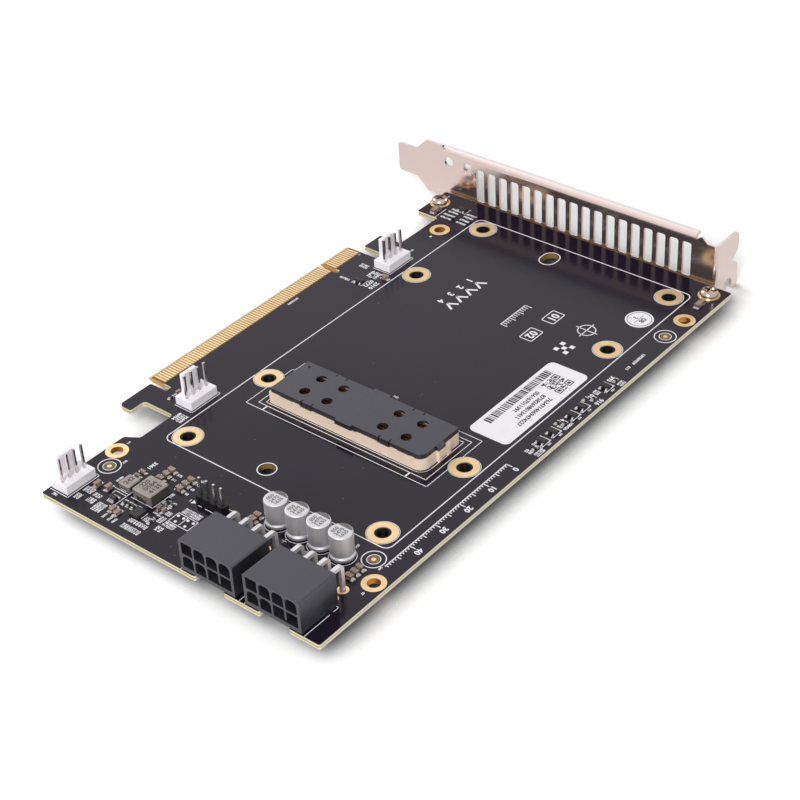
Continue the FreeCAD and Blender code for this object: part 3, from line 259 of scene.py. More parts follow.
# solder joint under the board: radius left open inside, the least spread of its foot as a share of the
# reach, the shoulder as a share of the foot, neck and tip as shares of the leg, and the drop of all three
JOINT_OPEN = 0.1
JOINT_SPREAD = 0.75
JOINT_SHARES = (0.72, 1.5, 1.2)
JOINT_DROPS = (0.25, 0.65, 1.0)
# pads of the ceramic parts and resistors: node, and how far the pad runs out along the part
END_PADS = (("ceramic_ends", 0.6), ("resistor_ends", 0.4))
# lap of the solder beside a part's end, its height as a share of the end, and the lap of a lead's pad
FILLET_LAP = 0.1
FILLET_RISE = 0.4
LEAD_LAP = 0.22
# threads: radius of the foot and of the crest, half a ridge as a share of the pitch, and how far below the
# board the screws' threads end
INSERT_THREAD = (1.66, 1.45)
SCREW_THREAD = (1.44, 1.6)
RIDGE_SHARE = 0.45
SCREW_THREAD_DROP = 1.2

# tongue without coat: u from, u to, and the v below which it is bare
TONGUE = (36.0, 123.5, -18.1)
# depth that counts as coat on the faces, depth of the tongue's bevel, and half the browner core between the
# outer layers
COAT_T = 0.02
TONGUE_BEVEL = 0.16
CORE_HALF = 0.22
# copper dots under the coat: middle of their patch, and how far from it they start to fade and are gone
DOT_PATCH = (62, 32)
DOT_FADE = (12, 30)

# the floor's half width in metres, and its tone for bounced light and in reflections
FLOOR_HALF = 3.0
FLOOR_TONES = (0.88, 1.1)
# the surround's strength as a light, and where it is seen
SURROUND = (0.46, 1.0)
# dark card seen only in reflections, for a painted dark reflection: u from, u to, v from, v to, and its top
DARK_REFLECTION_CARD = (-46.0, -45.0, -80.0, 90.0)
DARK_REFLECTION_TOP = 45.0

# soft lamps: name, place in metres, width in metres, power in watts
LAMPS = (("key", (2.85, 1.2, 2.15), 2.0, 106.0), ("fill", (-0.3, -2.6, 1.9), 1.6, 22.0))
# painted floor shadows, from occlusion: reach in metres, the side of the soft light they stand for, and the
# ramp:
# the clear share of the view where the shadow is darkest and where it ends, with the tone at either
SHADOWS = (
    (0.013, (0.5, -0.55, 0.67), (0.5, 0.78, 0.55, 1.23)),
    (0.045, (0.8, 0.35, 0.49), (0.5, 0.85, 0.55, 1.0)),
)

# the camera's place in card millimetres, and where its own axes point
CAMERA_AT = (391.76, 306.16, 291.54)
CAMERA_RIGHT = (-0.63186, 0.77351, -0.04937)
CAMERA_UP = (-0.48043, -0.34087, 0.80808)
CAMERA_LENS = 81.88
CAMERA_SENSOR = 36.0
CAMERA_CLIP = (0.01, 20.0)


def linear(code):
    """Linear colour of an sRGB hex value."""
    channels = [int(code[i:i + 2], 16) / 255 for i in (1, 3, 5)]
    return tuple(c / 12.92 if c <= 0.04045 else ((c + 0.055) / 1.055) ** 2.4 for c in channels) + (1.0,)


def shade(title, words, code):
    """Colour property with a hex default."""
    return FloatVectorProperty(
        name=title, description=words, subtype="COLOR", size=4, min=0.0, max=1.0, default=linear(code)
    )


def length(title, words, millimetres):
    """Length property with a default in millimetres."""
    return FloatProperty(
        name=title, description=words, subtype="DISTANCE", unit="LENGTH", min=0.0, precision=5,
        default=millimetres * MM,
    )


class CardColours(bpy.types.PropertyGroup):
    mask: shade("Solder mask", "Coating of both board faces", "#191125")
    mask_warm: shade("Solder mask, warm", "Browner drift of the coating", "#1d141d")
    laminate: shade("Laminate", "Sawn edge of the glass laminate", "#d9d0b0")
    laminate_dark: shade("Laminate, dark", "Layers seen in the sawn edge", "#a29670")
    tongue: shade("Bare tongue", "Uncoated laminate between the edge contacts", "#7d5f3a")
    ink: shade("White ink", "Screen print on the board", "#f6f5fa")
    gold: shade("Gold", "Plating of contacts and rings", "#f3d5a6")
    nickel: shade("Nickel", "Plating of the slot bracket", "#d6c3bd")
    black: shade("Dark oxide", "Finish of the threaded inserts", "#2c2a2b")
    steel: shade("Screw steel", "Plain screws", "#c3b4aa")
    natural: shade("Natural resin", "Connector body", "#f0d9c3")
    dark_resin: shade("Black resin", "Cap, sockets and header", "#1f1e24")
    white_resin: shade("White resin", "Fan header bodies", "#f8f4fa")
    tin: shade("Tin", "Plated pins, leads and solder", "#dcd8d6")
    aluminium: shade("Aluminium", "Capacitor cans", "#d9d6d9")
    rubber: shade("Rubber", "Seals under the cans", "#1d1c1c")
    ferrite: shade("Pressed powder", "Inductor bodies", "#b2a8a1")
    epoxy: shade("Moulding epoxy", "Chip bodies", "#1f1e20")
    ceramic: shade("Fired ceramic", "Ceramic capacitors", "#a5877d")
    paper: shade("Label paper", "Label and round sticker", "#f3f1f6")
    toner: shade("Toner", "Print on the label", "#1f1e22")
    grey_ink: shade("Grey ink", "Marks on the cans and the sticker", "#6d696b")


class CardSizes(bpy.types.PropertyGroup):
    line: length("Outline width", "Width of the long printed lines", 0.3)
    fine_line: length("Fine line width", "Width of the short printed strokes", 0.2)
    film: length("Ink thickness", "Height of the print over the surface", 0.02)
    ring_gap: length("Ring gap", "Distance of the printed ring from a module pad", 0.2)
    edge_round: length("Moulded edge", "Rounding of the moulded edges", 0.12)
    joint_reach: length("Solder reach", "Radius of a solder joint under the board", 1.1)
    thread_pitch: length("Thread pitch", "Distance of the screw threads", 0.5)


def colour(name):
    """A colour from the panel."""
    return tuple(getattr(bpy.context.scene.card_colours, name))


def size(name):
    """A size from the panel, in millimetres."""
    return getattr(bpy.context.scene.card_sizes, name) / MM


def at(u, v, z=0.0):
    """Point of the frame, in metres, at a place in card millimetres."""
    return DATUM + Vector((u, v, z)) * MM


def islands(node):
    """Lowest and highest card corner of every separate solid in a CAD node."""
    bm = bmesh.new()
    bm.from_mesh(frame["nodes"][node].data)
    bmesh.ops.remove_doubles(bm, verts=bm.verts, dist=JOIN_GAP * MM)
    left = set(bm.verts)
    found = []
    while left:
        reach = [left.pop()]
        points = []
        while reach:
            vert = reach.pop()
            points.append((vert.co - DATUM) / MM)
            for edge in vert.link_edges:
                other = edge.other_vert(vert)
                if other in left:
                    left.remove(other)
                    reach.append(other)
        low = Vector([min(p[i] for p in points) for i in range(3)])
        high = Vector([max(p[i] for p in points) for i in range(3)])
        found.append((low, high))
    bm.free()
    return sorted(found, key=lambda pair: tuple(round(c, 3) for c in pair[0]))


def centre(low, high):
    """Place of the middle between two card corners."""
    return (low.x + high.x) / 2, (low.y + high.y) / 2


# shapes drawn into a bmesh, in card millimetres


def bar(bm, start, end, width, low, high):
    """Straight stroke between two places."""
    a, b = at(*start, (low + high) / 2), at(*end, (low + high) / 2)
    run = b - a
    turn = Matrix.Rotation(math.atan2(run.y, run.x), 4, "Z")
    scale = Matrix.Diagonal((run.length, width * MM, (high - low) * MM, 1.0))
    place = Matrix.Translation((a + b) / 2)
    return bmesh.ops.create_cube(bm, size=1.0, matrix=place @ turn @ scale)["verts"]


def plate(bm, u0, u1, v0, v1, low, high):
    """Block over a rectangle."""
    middle = (v0 + v1) / 2
    return bar(bm, (u0, middle), (u1, middle), v1 - v0, low, high)


def ribbon(bm, points, width, low, high):
    """Closed line through (u, v) corners."""
    corners = [Vector(point) for point in points]
    for start, end in zip(corners, corners[1:] + corners[:1]):
        lap = (end - start).normalized() * width / 2
        bar(bm, start - lap, end + lap, width, low, high)


def disc(bm, u, v, radius, low, high, segments=32):
    """Flat round, or a polygon of few segments."""
    place = Matrix.Translation(at(u, v, (low + high) / 2))
    return bmesh.ops.create_cone(
        bm, cap_ends=True, segments=segments, radius1=radius * MM, radius2=radius * MM,
        depth=(high - low) * MM, matrix=place,
    )["verts"]


def lathe(bm, u, v, profile, segments=32):
    """Ring turned about an upright line from (radius, height) corners."""
    verts = [bm.verts.new(at(u + radius, v, height)) for radius, height in profile]
    edges = [bm.edges.new((a, b)) for a, b in zip(verts, verts[1:] + verts[:1])]
    bmesh.ops.spin(
        bm, geom=verts + edges, cent=at(u, v), axis=(0, 0, 1), angle=math.tau, steps=segments, use_merge=True
    )


def hoop(bm, u, v, radius, width, low, high, segments=48):
    """Flat ring of a middle radius and a width."""
    inner, outer = radius - width / 2, radius + width / 2
    lathe(bm, u, v, ((inner, low), (outer, low), (outer, high), (inner, high)), segments)


def rounded_line(bm, u0, u1, v0, v1, radius, width, low, high):
    """Closed line round a rectangle, with rounded corners."""
    spread = Matrix.Diagonal(((u1 - u0 + width) * MM, (v1 - v0 + width) * MM, 1.0, 1.0))
    place = Matrix.Translation(at((u0 + u1) / 2, (v0 + v1) / 2, low))
    verts = bmesh.ops.create_grid(bm, x_segments=1, y_segments=1, size=0.5, matrix=place @ spread)["verts"]
    face = verts[0].link_faces[0]
    if radius:
        cut = bmesh.ops.bevel(
            bm, geom=verts, offset=(radius + width / 2) * MM, offset_type="OFFSET", segments=8, profile=0.5,
            affect="VERTICES", material=-1,
        )
        face = max(set(f for v in cut["verts"] for f in v.link_faces), key=lambda f: f.calc_area())
    band = bmesh.ops.inset_region(
        bm, faces=[face], thickness=width * MM, use_even_offset=True, use_boundary=True
    )["faces"]
    bmesh.ops.delete(bm, geom=[face], context="FACES")
    raise_faces(bm, band, high - low)


def raise_faces(bm, faces, height):
    """Gives flat faces a thickness upwards."""
    grown = bmesh.ops.extrude_face_region(bm, geom=faces)["geom"]
    tops = [item for item in grown if isinstance(item, bmesh.types.BMVert)]
    bmesh.ops.translate(bm, verts=tops, vec=(0, 0, height * MM))


def lettering(bm, text, u, v, height, low, turn=0.0):
    """Numbers as flat raised print, centred on a place."""
    curve = bpy.data.curves.new("numbers", "FONT")
    curve.body = text
    curve.size = height * MM / FONT_SHARE
    curve.align_x = "CENTER"
    curve.align_y = "CENTER"
    curve.resolution_u = 2
    curve.offset = DIGIT_WEIGHT * curve.size
    curve.extrude = size("film") / 2 * MM
    holder = bpy.data.objects.new("numbers", curve)
    mesh = bpy.data.meshes.new_from_object(holder)
    place = Matrix.Translation(at(u, v, low + size("film") / 2))
    mesh.transform(place @ Matrix.Rotation(turn, 4, "Z"))
    bm.from_mesh(mesh)
    bpy.data.objects.remove(holder)
    bpy.data.curves.remove(curve)
    bpy.data.meshes.remove(mesh)


def number_block(bm, draw, u0, u1, v0, v1, rows, upright):
    """Rows of plain numbers that fill a rectangle."""
    run, depth = (v1 - v0, u1 - u0) if upright else (u1 - u0, v1 - v0)
    height = ROW_FILL * depth / rows
    count = max(1, round(run / (DIGIT_RUN * height)))
    for row in range(rows):
        text = "".join(str(draw.randrange(10)) for _ in range(count))
        step = (row + 0.5) / rows
        if upright:
            lettering(bm, text, u0 + depth * step, (v0 + v1) / 2, height, 0, math.pi / 2)
        else:
            lettering(bm, text, (u0 + u1) / 2, v1 - depth * step, height, 0)


def piece(name, bm, material, smooth=False):
    """Turns a bmesh into a finished piece that rides on the card."""
    bmesh.ops.recalc_face_normals(bm, faces=bm.faces)
    for face in bm.faces:
        face.smooth = smooth
    mesh = bpy.data.meshes.new(name)
    bm.to_mesh(mesh)
    bm.free()
    mesh.materials.append(bpy.data.materials[material])
    made = bpy.data.objects.new(name, mesh)
    bpy.context.scene.collection.objects.link(made)
    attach(made, "root")


# materials


def add(tree, kind, sockets=(), out=0, **settings):
    """Adds a node: settings are its properties, sockets its values or the outputs that feed it.

    Gives back the output named by out, or all of them for None.
    """
    node = tree.nodes.new("ShaderNode" + kind)
    for key, value in settings.items():
        setattr(node, key, value)
    for key, value in dict(sockets).items():
        if isinstance(value, bpy.types.NodeSocket):
            tree.links.new(value, node.inputs[key])
        else:
            node.inputs[key].default_value = value
    return node.outputs if out is None else node.outputs[out]


# band that holds most values of a noise
NOISE_BAND = {"From Min": 0.3, "From Max": 0.7}
# a finish drifts over patches this many times as wide as its grain
DRIFT = 9


def per(millimetres):
    """Pattern scale whose features have this size."""
    return 1.0 / (millimetres * MM)


def begin(name, base, roughness, metallic=0.0, ior=1.5):
    """Starts a material from its plain values; gives its tree, its shader and the object coordinates."""
    material = bpy.data.materials.new(name)
    material.use_nodes = True
    tree = material.node_tree
    shader = tree.nodes["Principled BSDF"]
    shader.inputs["Base Color"].default_value = base
    shader.inputs["Roughness"].default_value = roughness
    shader.inputs["Metallic"].default_value = metallic
    shader.inputs["IOR"].default_value = ior
    return tree, shader, add(tree, "TexCoord", out="Object")


def mottle(tree, shader, coords, grain, light, dark, rough, relief):
    """Colour drift, roughness drift and relief of one grain size, which most of the finishes share.

    Real grains of metal, resin and paper are too fine to show, so they are drawn 0.2 mm wide or more.
    """
    noise = add(tree, "TexNoise", {"Vector": coords, "Scale": per(grain), "Detail": 4.0})
    broad = add(tree, "TexNoise", {"Vector": coords, "Scale": per(grain * DRIFT), "Detail": 2.0})
    both = add(tree, "Math", {0: noise, 1: broad}, operation="MULTIPLY")
    spread = add(tree, "MapRange", {"Value": both, "From Min": 0.12, "From Max": 0.4})
    tone = add(tree, "Mix", {0: spread, 6: dark, 7: light}, data_type="RGBA", out=2)
    tree.links.new(tone, shader.inputs["Base Color"])
    gloss = add(tree, "MapRange", {"Value": broad, **NOISE_BAND, "To Min": rough[0], "To Max": rough[1]})
    tree.links.new(gloss, shader.inputs["Roughness"])
    bump = add(tree, "Bump", {"Height": noise, "Strength": 1.0, "Distance": relief * MM})
    tree.links.new(bump, shader.inputs["Normal"])


def darker(tone, share):
    """A colour with a share of its light."""
    return tuple(c * share for c in tone[:3]) + (1.0,)


def solder_mask():
    # Satin black mask on both faces; the sawn edges and drilled walls show cream glass laminate in layers.
    tree, shader, coords = begin("Solder mask on glass laminate", colour("mask"), 0.2, 0.0, 1.36)
    axes = add(tree, "SeparateXYZ", {"Vector": coords}, out=None)
    upper = add(tree, "Math", {0: axes["Z"], 1: BOARD_HIGH.z - COAT_T * MM}, operation="GREATER_THAN")
    lower = add(tree, "Math", {0: axes["Z"], 1: BOARD_LOW.z + COAT_T * MM}, operation="LESS_THAN")
    faces = add(tree, "Math", {0: upper, 1: lower}, operation="MAXIMUM")
    # the tongue under the edge contacts is left uncoated
    u0, u1, v1 = TONGUE
    low = add(tree, "Math", {0: axes["Y"], 1: at(u0, v1).y}, operation="LESS_THAN")
    front = add(tree, "Math", {0: axes["X"], 1: at(u0, v1).x}, operation="GREATER_THAN")
    rear = add(tree, "Math", {0: axes["X"], 1: at(u1, v1).x}, operation="LESS_THAN")
    wide = add(tree, "Math", {0: front, 1: rear}, operation="MULTIPLY")
    bare = add(tree, "Math", {0: low, 1: wide}, operation="MULTIPLY")
    coat = add(tree, "Math", {0: faces, 1: bare}, operation="SUBTRACT", use_clamp=True)

    drift = add(tree, "TexNoise", {"Vector": coords, "Scale": per(26.0), "Detail": 2.0})
    tone = add(tree, "Mix", {0: drift, 6: colour("mask"), 7: colour("mask_warm")}, data_type="RGBA", out=2)
    # balancing copper dots, 1.5 mm apart, show faintly through the coat round the board's middle
    grid = {"Vector": coords, "Scale": per(1.5), "Randomness": 0.0}
    lattice = add(tree, "TexVoronoi", grid, voronoi_dimensions="2D")
    dots = add(
        tree, "MapRange",
        {"Value": lattice, "From Min": 0.26, "From Max": 0.36, "To Min": 1.0, "To Max": 0.0},
    )
    away = add(tree, "VectorMath", {0: coords, 1: at(*DOT_PATCH)}, operation="DISTANCE", out="Value")
    start, end = DOT_FADE
    patch = add(
        tree, "MapRange",
        {"Value": away, "From Min": start * MM, "From Max": end * MM, "To Min": 0.5, "To Max": 0.0},
    )
    seen = add(tree, "Math", {0: dots, 1: patch}, operation="MULTIPLY")
    toned = add(tree, "Mix", {0: seen, 6: tone, 7: linear("#241c2c")}, data_type="RGBA", out=2)

    # glass layers 0.2 mm apart in the sawn edge
    phase = add(tree, "Math", {0: axes["Z"], 1: math.tau * per(0.2)}, operation="MULTIPLY")
    wave = add(tree, "Math", {0: phase}, operation="SINE")
    layer = add(tree, "MapRange", {"Value": wave, "From Min": 0.2, "To Max": 0.55})
    # the thick core between the outer layers is browner
    level = (BOARD_LOW.z + BOARD_HIGH.z) / 2
    core = add(tree, "Math", {0: axes["Z"], 1: level, 2: CORE_HALF * MM}, operation="COMPARE")
    deep = add(tree, "Math", {0: core, 1: layer}, operation="MAXIMUM")
    tones = {6: colour("laminate"), 7: colour("laminate_dark")}
    glass = add(tree, "Mix", {0: deep, **tones}, data_type="RGBA", out=2)
    # painted sheen: edge faces turned towards the top edge are paler and less yellow
    facing = add(tree, "NewGeometry", out="True Normal")
    turned = add(tree, "SeparateXYZ", {"Vector": facing}, out=None)
    painted_top_sheen = add(tree, "MapRange", {"Value": turned["Y"], "From Min": 0.5, "From Max": 0.9, "To Max": 0.4})
    pale = add(tree, "Mix", {0: painted_top_sheen, 6: glass, 7: linear("#efe9e0")}, data_type="RGBA", out=2)
    # bevels of the tongue are cut glass, pale like the other edges
    skin = add(tree, "Math", {0: axes["Z"], 1: BOARD_HIGH.z - TONGUE_BEVEL * MM}, operation="GREATER_THAN")
    outer = add(tree, "Math", {0: skin, 1: lower}, operation="MAXIMUM")
    flat = add(tree, "Math", {0: bare, 1: outer}, operation="MULTIPLY")
    # walls of the key notch, which face along the card, are saw-brown
    along = add(tree, "Math", {0: turned["X"]}, operation="ABSOLUTE")
    cut = add(tree, "Mix", {0: along, 6: linear("#e6dcc0"), 7: linear("#c8964e")}, data_type="RGBA", out=2)
    cream = add(tree, "Mix", {0: bare, 6: pale, 7: cut}, data_type="RGBA", out=2)
    resin = add(tree, "Mix", {0: flat, 6: cream, 7: colour("tongue")}, data_type="RGBA", out=2)
    # walls of the two locating holes are deep olive brown
    for (u, v), reach in LOCATE_WALLS:
        middle = at(u, v, BACK_FACE / 2)
        off = add(tree, "VectorMath", {0: coords, 1: middle}, operation="DISTANCE", out="Value")
        near = add(tree, "Math", {0: off, 1: reach * MM}, operation="LESS_THAN")
        resin = add(tree, "Mix", {0: near, 6: resin, 7: linear("#8a6c34")}, data_type="RGBA", out=2)
    base = add(tree, "Mix", {0: coat, 6: resin, 7: toned}, data_type="RGBA", out=2)
    tree.links.new(base, shader.inputs["Base Color"])
    fine = add(tree, "TexNoise", {"Vector": coords, "Scale": per(0.6), "Detail": 3.0})
    gloss = add(tree, "MapRange", {"Value": fine, **NOISE_BAND, "To Min": 0.1, "To Max": 0.18})
    rough = add(tree, "Mix", {0: coat, 2: 0.65, 3: gloss}, data_type="FLOAT")
    tree.links.new(rough, shader.inputs["Roughness"])
    height = add(tree, "Math", {0: fine, 1: seen}, operation="ADD")
    bump = add(tree, "Bump", {"Height": height, "Strength": 1.0, "Distance": 0.006 * MM})
    tree.links.new(bump, shader.inputs["Normal"])


def white_ink():
    # Screen ink: matt white, a little thin in places.
    base = colour("ink")
    tree, shader, coords = begin("White screen ink", base, 0.55)
    mottle(tree, shader, coords, 0.25, base, darker(base, 0.92), (0.48, 0.62), 0.004)


def bare_laminate():
    # Laminate without mask, olive brown in the copper-free window.
    tree, shader, coords = begin("Bare glass laminate", linear("#6f6238"), 0.5)
    mottle(tree, shader, coords, 0.2, linear("#7f7042"), linear("#574d2e"), (0.4, 0.6), 0.005)


def gold_plate():
    # Satin gold over nickel: warm, slightly uneven, with fine grain.
    base = colour("gold")
    tree, shader, coords = begin("Satin gold plate", base, 0.32, 1.0)
    mottle(tree, shader, coords, 0.35, base, darker(base, 0.88), (0.4, 0.5), 0.004)
    # painted reflection: upright faces, plated hole walls among them, are painted a deeper orange gold
    face = shader.inputs["Base Color"].links[0].from_socket
    facing = add(tree, "NewGeometry", out="True Normal")
    rise = add(tree, "SeparateXYZ", {"Vector": facing}, out="Z")
    level = add(tree, "Math", {0: rise}, operation="ABSOLUTE")
    tone = add(tree, "Mix", {0: level, 6: linear("#d9964a"), 7: face}, data_type="RGBA", out=2)
    tree.links.new(tone, shader.inputs["Base Color"])


def nickel_sheet():
    # Bright nickel on rolled sheet: faint rolling lines along the plate, soft reflections, a painted
    # highlight.
    base = colour("nickel")
    tree, shader, coords = begin("Nickel plated sheet", base, 0.2, 1.0)
    rolled = add(tree, "Mapping", {"Vector": coords, "Scale": (per(0.4), per(14.0), per(0.4))})
    lines = add(tree, "TexNoise", {"Vector": rolled, "Scale": 1.0, "Detail": 3.0})
    tone = add(tree, "Mix", {0: lines, 6: darker(base, 0.92), 7: base}, data_type="RGBA", out=2)
    # faces turned up (sheared edges, the top of the curl) are rougher and get a painted white highlight
    facing = add(tree, "NewGeometry", out="Normal")
    turned = add(tree, "SeparateXYZ", {"Vector": facing}, out=None)
    painted_highlight_and_rough = add(tree, "MapRange", {"Value": turned["Z"], "From Min": 0.3, "From Max": 0.8})
    # the painted highlight is white where faces turn away from the card, pink where they turn towards it
    far = add(tree, "MapRange", {"Value": turned["X"], "From Min": 0.6, "From Max": -0.05})
    edge = add(tree, "Mix", {0: far, 6: linear("#d0bcbb"), 7: linear("#f7f4f3")}, data_type="RGBA", out=2)
    painted_light = add(tree, "Mix", {0: painted_highlight_and_rough, 6: tone, 7: edge}, data_type="RGBA", out=2)
    tree.links.new(painted_light, shader.inputs["Base Color"])
    gloss = add(tree, "MapRange", {"Value": lines, **NOISE_BAND, "To Min": 0.14, "To Max": 0.26})
    rough = add(tree, "Mix", {0: painted_highlight_and_rough, 2: gloss, 3: 0.6}, data_type="FLOAT")
    tree.links.new(rough, shader.inputs["Roughness"])
    bump = add(tree, "Bump", {"Height": lines, "Strength": 1.0, "Distance": 0.002 * MM})
    tree.links.new(bump, shader.inputs["Normal"])


def dark_oxide():
    # Blackened steel: nearly black, soft metallic glint.
    base = colour("black")
    tree, shader, coords = begin("Black oxide steel", base, 0.38, 0.85)
    mottle(tree, shader, coords, 0.3, base, darker(base, 0.7), (0.3, 0.48), 0.004)


def screw_steel():
    # Plain nickel on a headed screw: bright and a little uneven.
    base = colour("steel")
    tree, shader, coords = begin("Plated screw steel", base, 0.24, 1.0)
    mottle(tree, shader, coords, 0.25, base, darker(base, 0.8), (0.1, 0.2), 0.004)


def natural_resin():
    # Unpigmented liquid-crystal resin: warm beige and matt, faintly clouded.
    base = colour("natural")
    tree, shader, coords = begin("Natural moulding resin", base, 0.5)
    mottle(tree, shader, coords, 0.5, base, darker(base, 0.93), (0.44, 0.58), 0.006)


def black_resin():
    # Glass-filled black nylon: dark grey in bright light, fine spark-eroded grain.
    base = colour("dark_resin")
    tree, shader, coords = begin("Black moulded nylon", base, 0.42, 0.0, 1.78)
    shader.inputs["Specular Tint"].default_value = linear("#f3f1ff")
    mottle(tree, shader, coords, 0.3, base, darker(base, 0.82), (0.36, 0.5), 0.008)


def header_resin():
    # Black polyester of the pin header, smoother than the nylon; deeper black, partly painted shade.
    tree, shader, coords = begin("Black header resin", linear("#0e0d10"), 0.35, 0.0, 1.36)
    mottle(tree, shader, coords, 0.3, linear("#100f12"), linear("#0b0a0c"), (0.3, 0.4), 0.004)


def white_resin():
    # White nylon: clean and satin, faintly uneven.
    base = colour("white_resin")
    tree, shader, coords = begin("White moulded nylon", base, 0.4)
    mottle(tree, shader, coords, 0.5, base, darker(base, 0.95), (0.34, 0.46), 0.005)


def tin_plate():
    # Bright tin and solder: pale metal that mirrors the board, with a trace of frosting.
    base = colour("tin")
    tree, shader, coords = begin("Tin plate and solder", base, 0.18, 1.0)
    mottle(tree, shader, coords, 0.3, base, darker(base, 0.86), (0.12, 0.24), 0.005)


def matt_tin():
    # Matt tin of the power pins and the chip leads: pale and frosted, hardly mirroring.
    tree, shader, coords = begin("Matt tin", linear("#e6e3e6"), 0.42, 0.65)
    mottle(tree, shader, coords, 0.3, linear("#e9e6e9"), linear("#d2ced1"), (0.38, 0.48), 0.004)


def end_plate():
    # Plated end of a ceramic part: smooth grey metal with a pinkish cast that mirrors the dark board.
    tree, shader, coords = begin("Plated ceramic end", linear("#b7a59d"), 0.2, 0.85)
    mottle(tree, shader, coords, 0.2, linear("#c0aea6"), linear("#94857e"), (0.14, 0.26), 0.004)


def can_aluminium():
    # Drawn aluminium under thin lacquer: satin, mid grey down the side, fine draw lines.
    base = colour("aluminium")
    tree, shader, coords = begin("Drawn aluminium can", base, 0.45, 0.7)
    drawn = add(tree, "Mapping", {"Vector": coords, "Scale": (per(0.3), per(0.3), per(6.0))})
    lines = add(tree, "TexNoise", {"Vector": drawn, "Scale": 1.0, "Detail": 3.0})
    tone = add(tree, "Mix", {0: lines, 6: darker(base, 0.85), 7: base}, data_type="RGBA", out=2)
    tree.links.new(tone, shader.inputs["Base Color"])
    gloss = add(tree, "MapRange", {"Value": lines, **NOISE_BAND, "To Min": 0.42, "To Max": 0.52})
    tree.links.new(gloss, shader.inputs["Roughness"])


def seal_rubber():
    # Moulded rubber: matt, nearly black and slightly rough.
    base = colour("rubber")
    tree, shader, coords = begin("Seal rubber", base, 0.75)
    mottle(tree, shader, coords, 0.4, base, darker(base, 0.7), (0.68, 0.82), 0.01)


def pressed_powder():
    # Pressed metal powder: grainy warm grey with dark specks; painted shade darkens the sides below the top.
    base = colour("ferrite")
    tree, shader, coords = begin("Pressed powder core", base, 0.55)
    mottle(tree, shader, coords, 0.22, base, darker(base, 0.6), (0.48, 0.64), 0.02)
    grain = shader.inputs["Base Color"].links[0].from_socket
    # painted shade: darker as faces turn from up, the up direction tilted towards the key lamp
    facing = add(tree, "NewGeometry", out="True Normal")
    rise = add(tree, "VectorMath", {0: facing, 1: (0.3, 0.0, 1.0)}, operation="DOT_PRODUCT", out="Value")
    painted_light = add(tree, "MapRange", {"Value": rise, "From Max": 0.95, "To Min": 0.12})
    tone = add(tree, "Mix", {0: 1.0, 6: grain, 7: painted_light}, data_type="RGBA", blend_type="MULTIPLY", out=2)
    tree.links.new(tone, shader.inputs["Base Color"])


def moulding_epoxy():
    # Filled epoxy of the chips: black and matt.
    base = colour("epoxy")
    tree, shader, coords = begin("Chip moulding epoxy", base, 0.5)
    mottle(tree, shader, coords, 0.2, base, darker(base, 0.75), (0.45, 0.58), 0.006)


def fired_ceramic():
    # Barium titanate blocks: smooth, between pinkish tan and olive.
    base = colour("ceramic")
    tree, shader, coords = begin("Fired ceramic", base, 0.4)
    mottle(tree, shader, coords, 0.3, base, linear("#857a66"), (0.34, 0.46), 0.004)


def label_paper():
    # Coated label stock: white, matt, with a trace of fibre.
    base = colour("paper")
    tree, shader, coords = begin("Label paper", base, 0.7)
    mottle(tree, shader, coords, 0.4, base, darker(base, 0.95), (0.64, 0.76), 0.004)


def label_toner():
    # Thermal transfer print: dark grey, matt.
    base = colour("toner")
    tree, shader, coords = begin("Label toner", base, 0.6)
    mottle(tree, shader, coords, 0.2, base, darker(base, 0.8), (0.55, 0.66), 0.003)


def core_mark():
    # Laser mark on the inductors: dark brown grey, matt.
    tree, shader, coords = begin("Laser mark", linear("#4d4745"), 0.6)
    mottle(tree, shader, coords, 0.2, linear("#4d4745"), linear("#3c3735"), (0.55, 0.66), 0.003)


def grey_ink():
    # Pad ink on the cans and the sticker, and the filled vias: flat mid grey.
    base = colour("grey_ink")
    tree, shader, coords = begin("Grey pad ink", base, 0.5)
    mottle(tree, shader, coords, 0.25, base, darker(base, 0.85), (0.45, 0.56), 0.003)


MATERIALS = (
    solder_mask, white_ink, bare_laminate, gold_plate, nickel_sheet, dark_oxide, screw_steel, natural_resin,
    black_resin, header_resin, white_resin, tin_plate, matt_tin, end_plate, can_aluminium, seal_rubber,
    pressed_powder, moulding_epoxy, fired_ceramic, label_paper, label_toner, core_mark, grey_ink,
)
# finish of each material slot of the CAD
SLOT_MATERIAL = {
    "solder_mask": "Solder mask on glass laminate", "gold_plate": "Satin gold plate",
    "plated_steel": "Nickel plated sheet", "black_steel": "Black oxide steel",
    "screw_steel": "Plated screw steel", "natural_resin": "Natural moulding resin",
    "black_resin": "Black moulded nylon", "white_resin": "White moulded nylon",
    "tin_plate": "Tin plate and solder",
    "can_aluminium": "Drawn aluminium can", "seal_rubber": "Seal rubber", "ferrite": "Pressed powder core",
    "chip_epoxy": "Chip moulding epoxy", "ceramic_tan": "Fired ceramic", "label_paper": "Label paper",
}
# nodes whose finish differs from the rest of their slot
NODE_MATERIAL = {
    "ceramic_ends": "Plated ceramic end", "pin_header": "Black header resin", "power_pins_1": "Matt tin",
    "power_pins_2": "Matt tin", "controller_leads": "Matt tin", "transistor_leads": "Matt tin",
}
# small moulded and fired parts whose edges are rounded
ROUNDED_NODES = FAN_HEADERS + (
    "pin_header", "converter_chip", "controller_chip", "transistors", "ceramic_bodies", "ceramic_ends",
    "resistor_ends", "resistor_bodies", "mezzanine_cap",
)
# edges sharper than this are rounded, by a smaller share on parts lower than this, in millimetres
SHARP_EDGE = math.radians(40)
LOW_PART = 1.3
LOW_PART_SHARE = 0.5


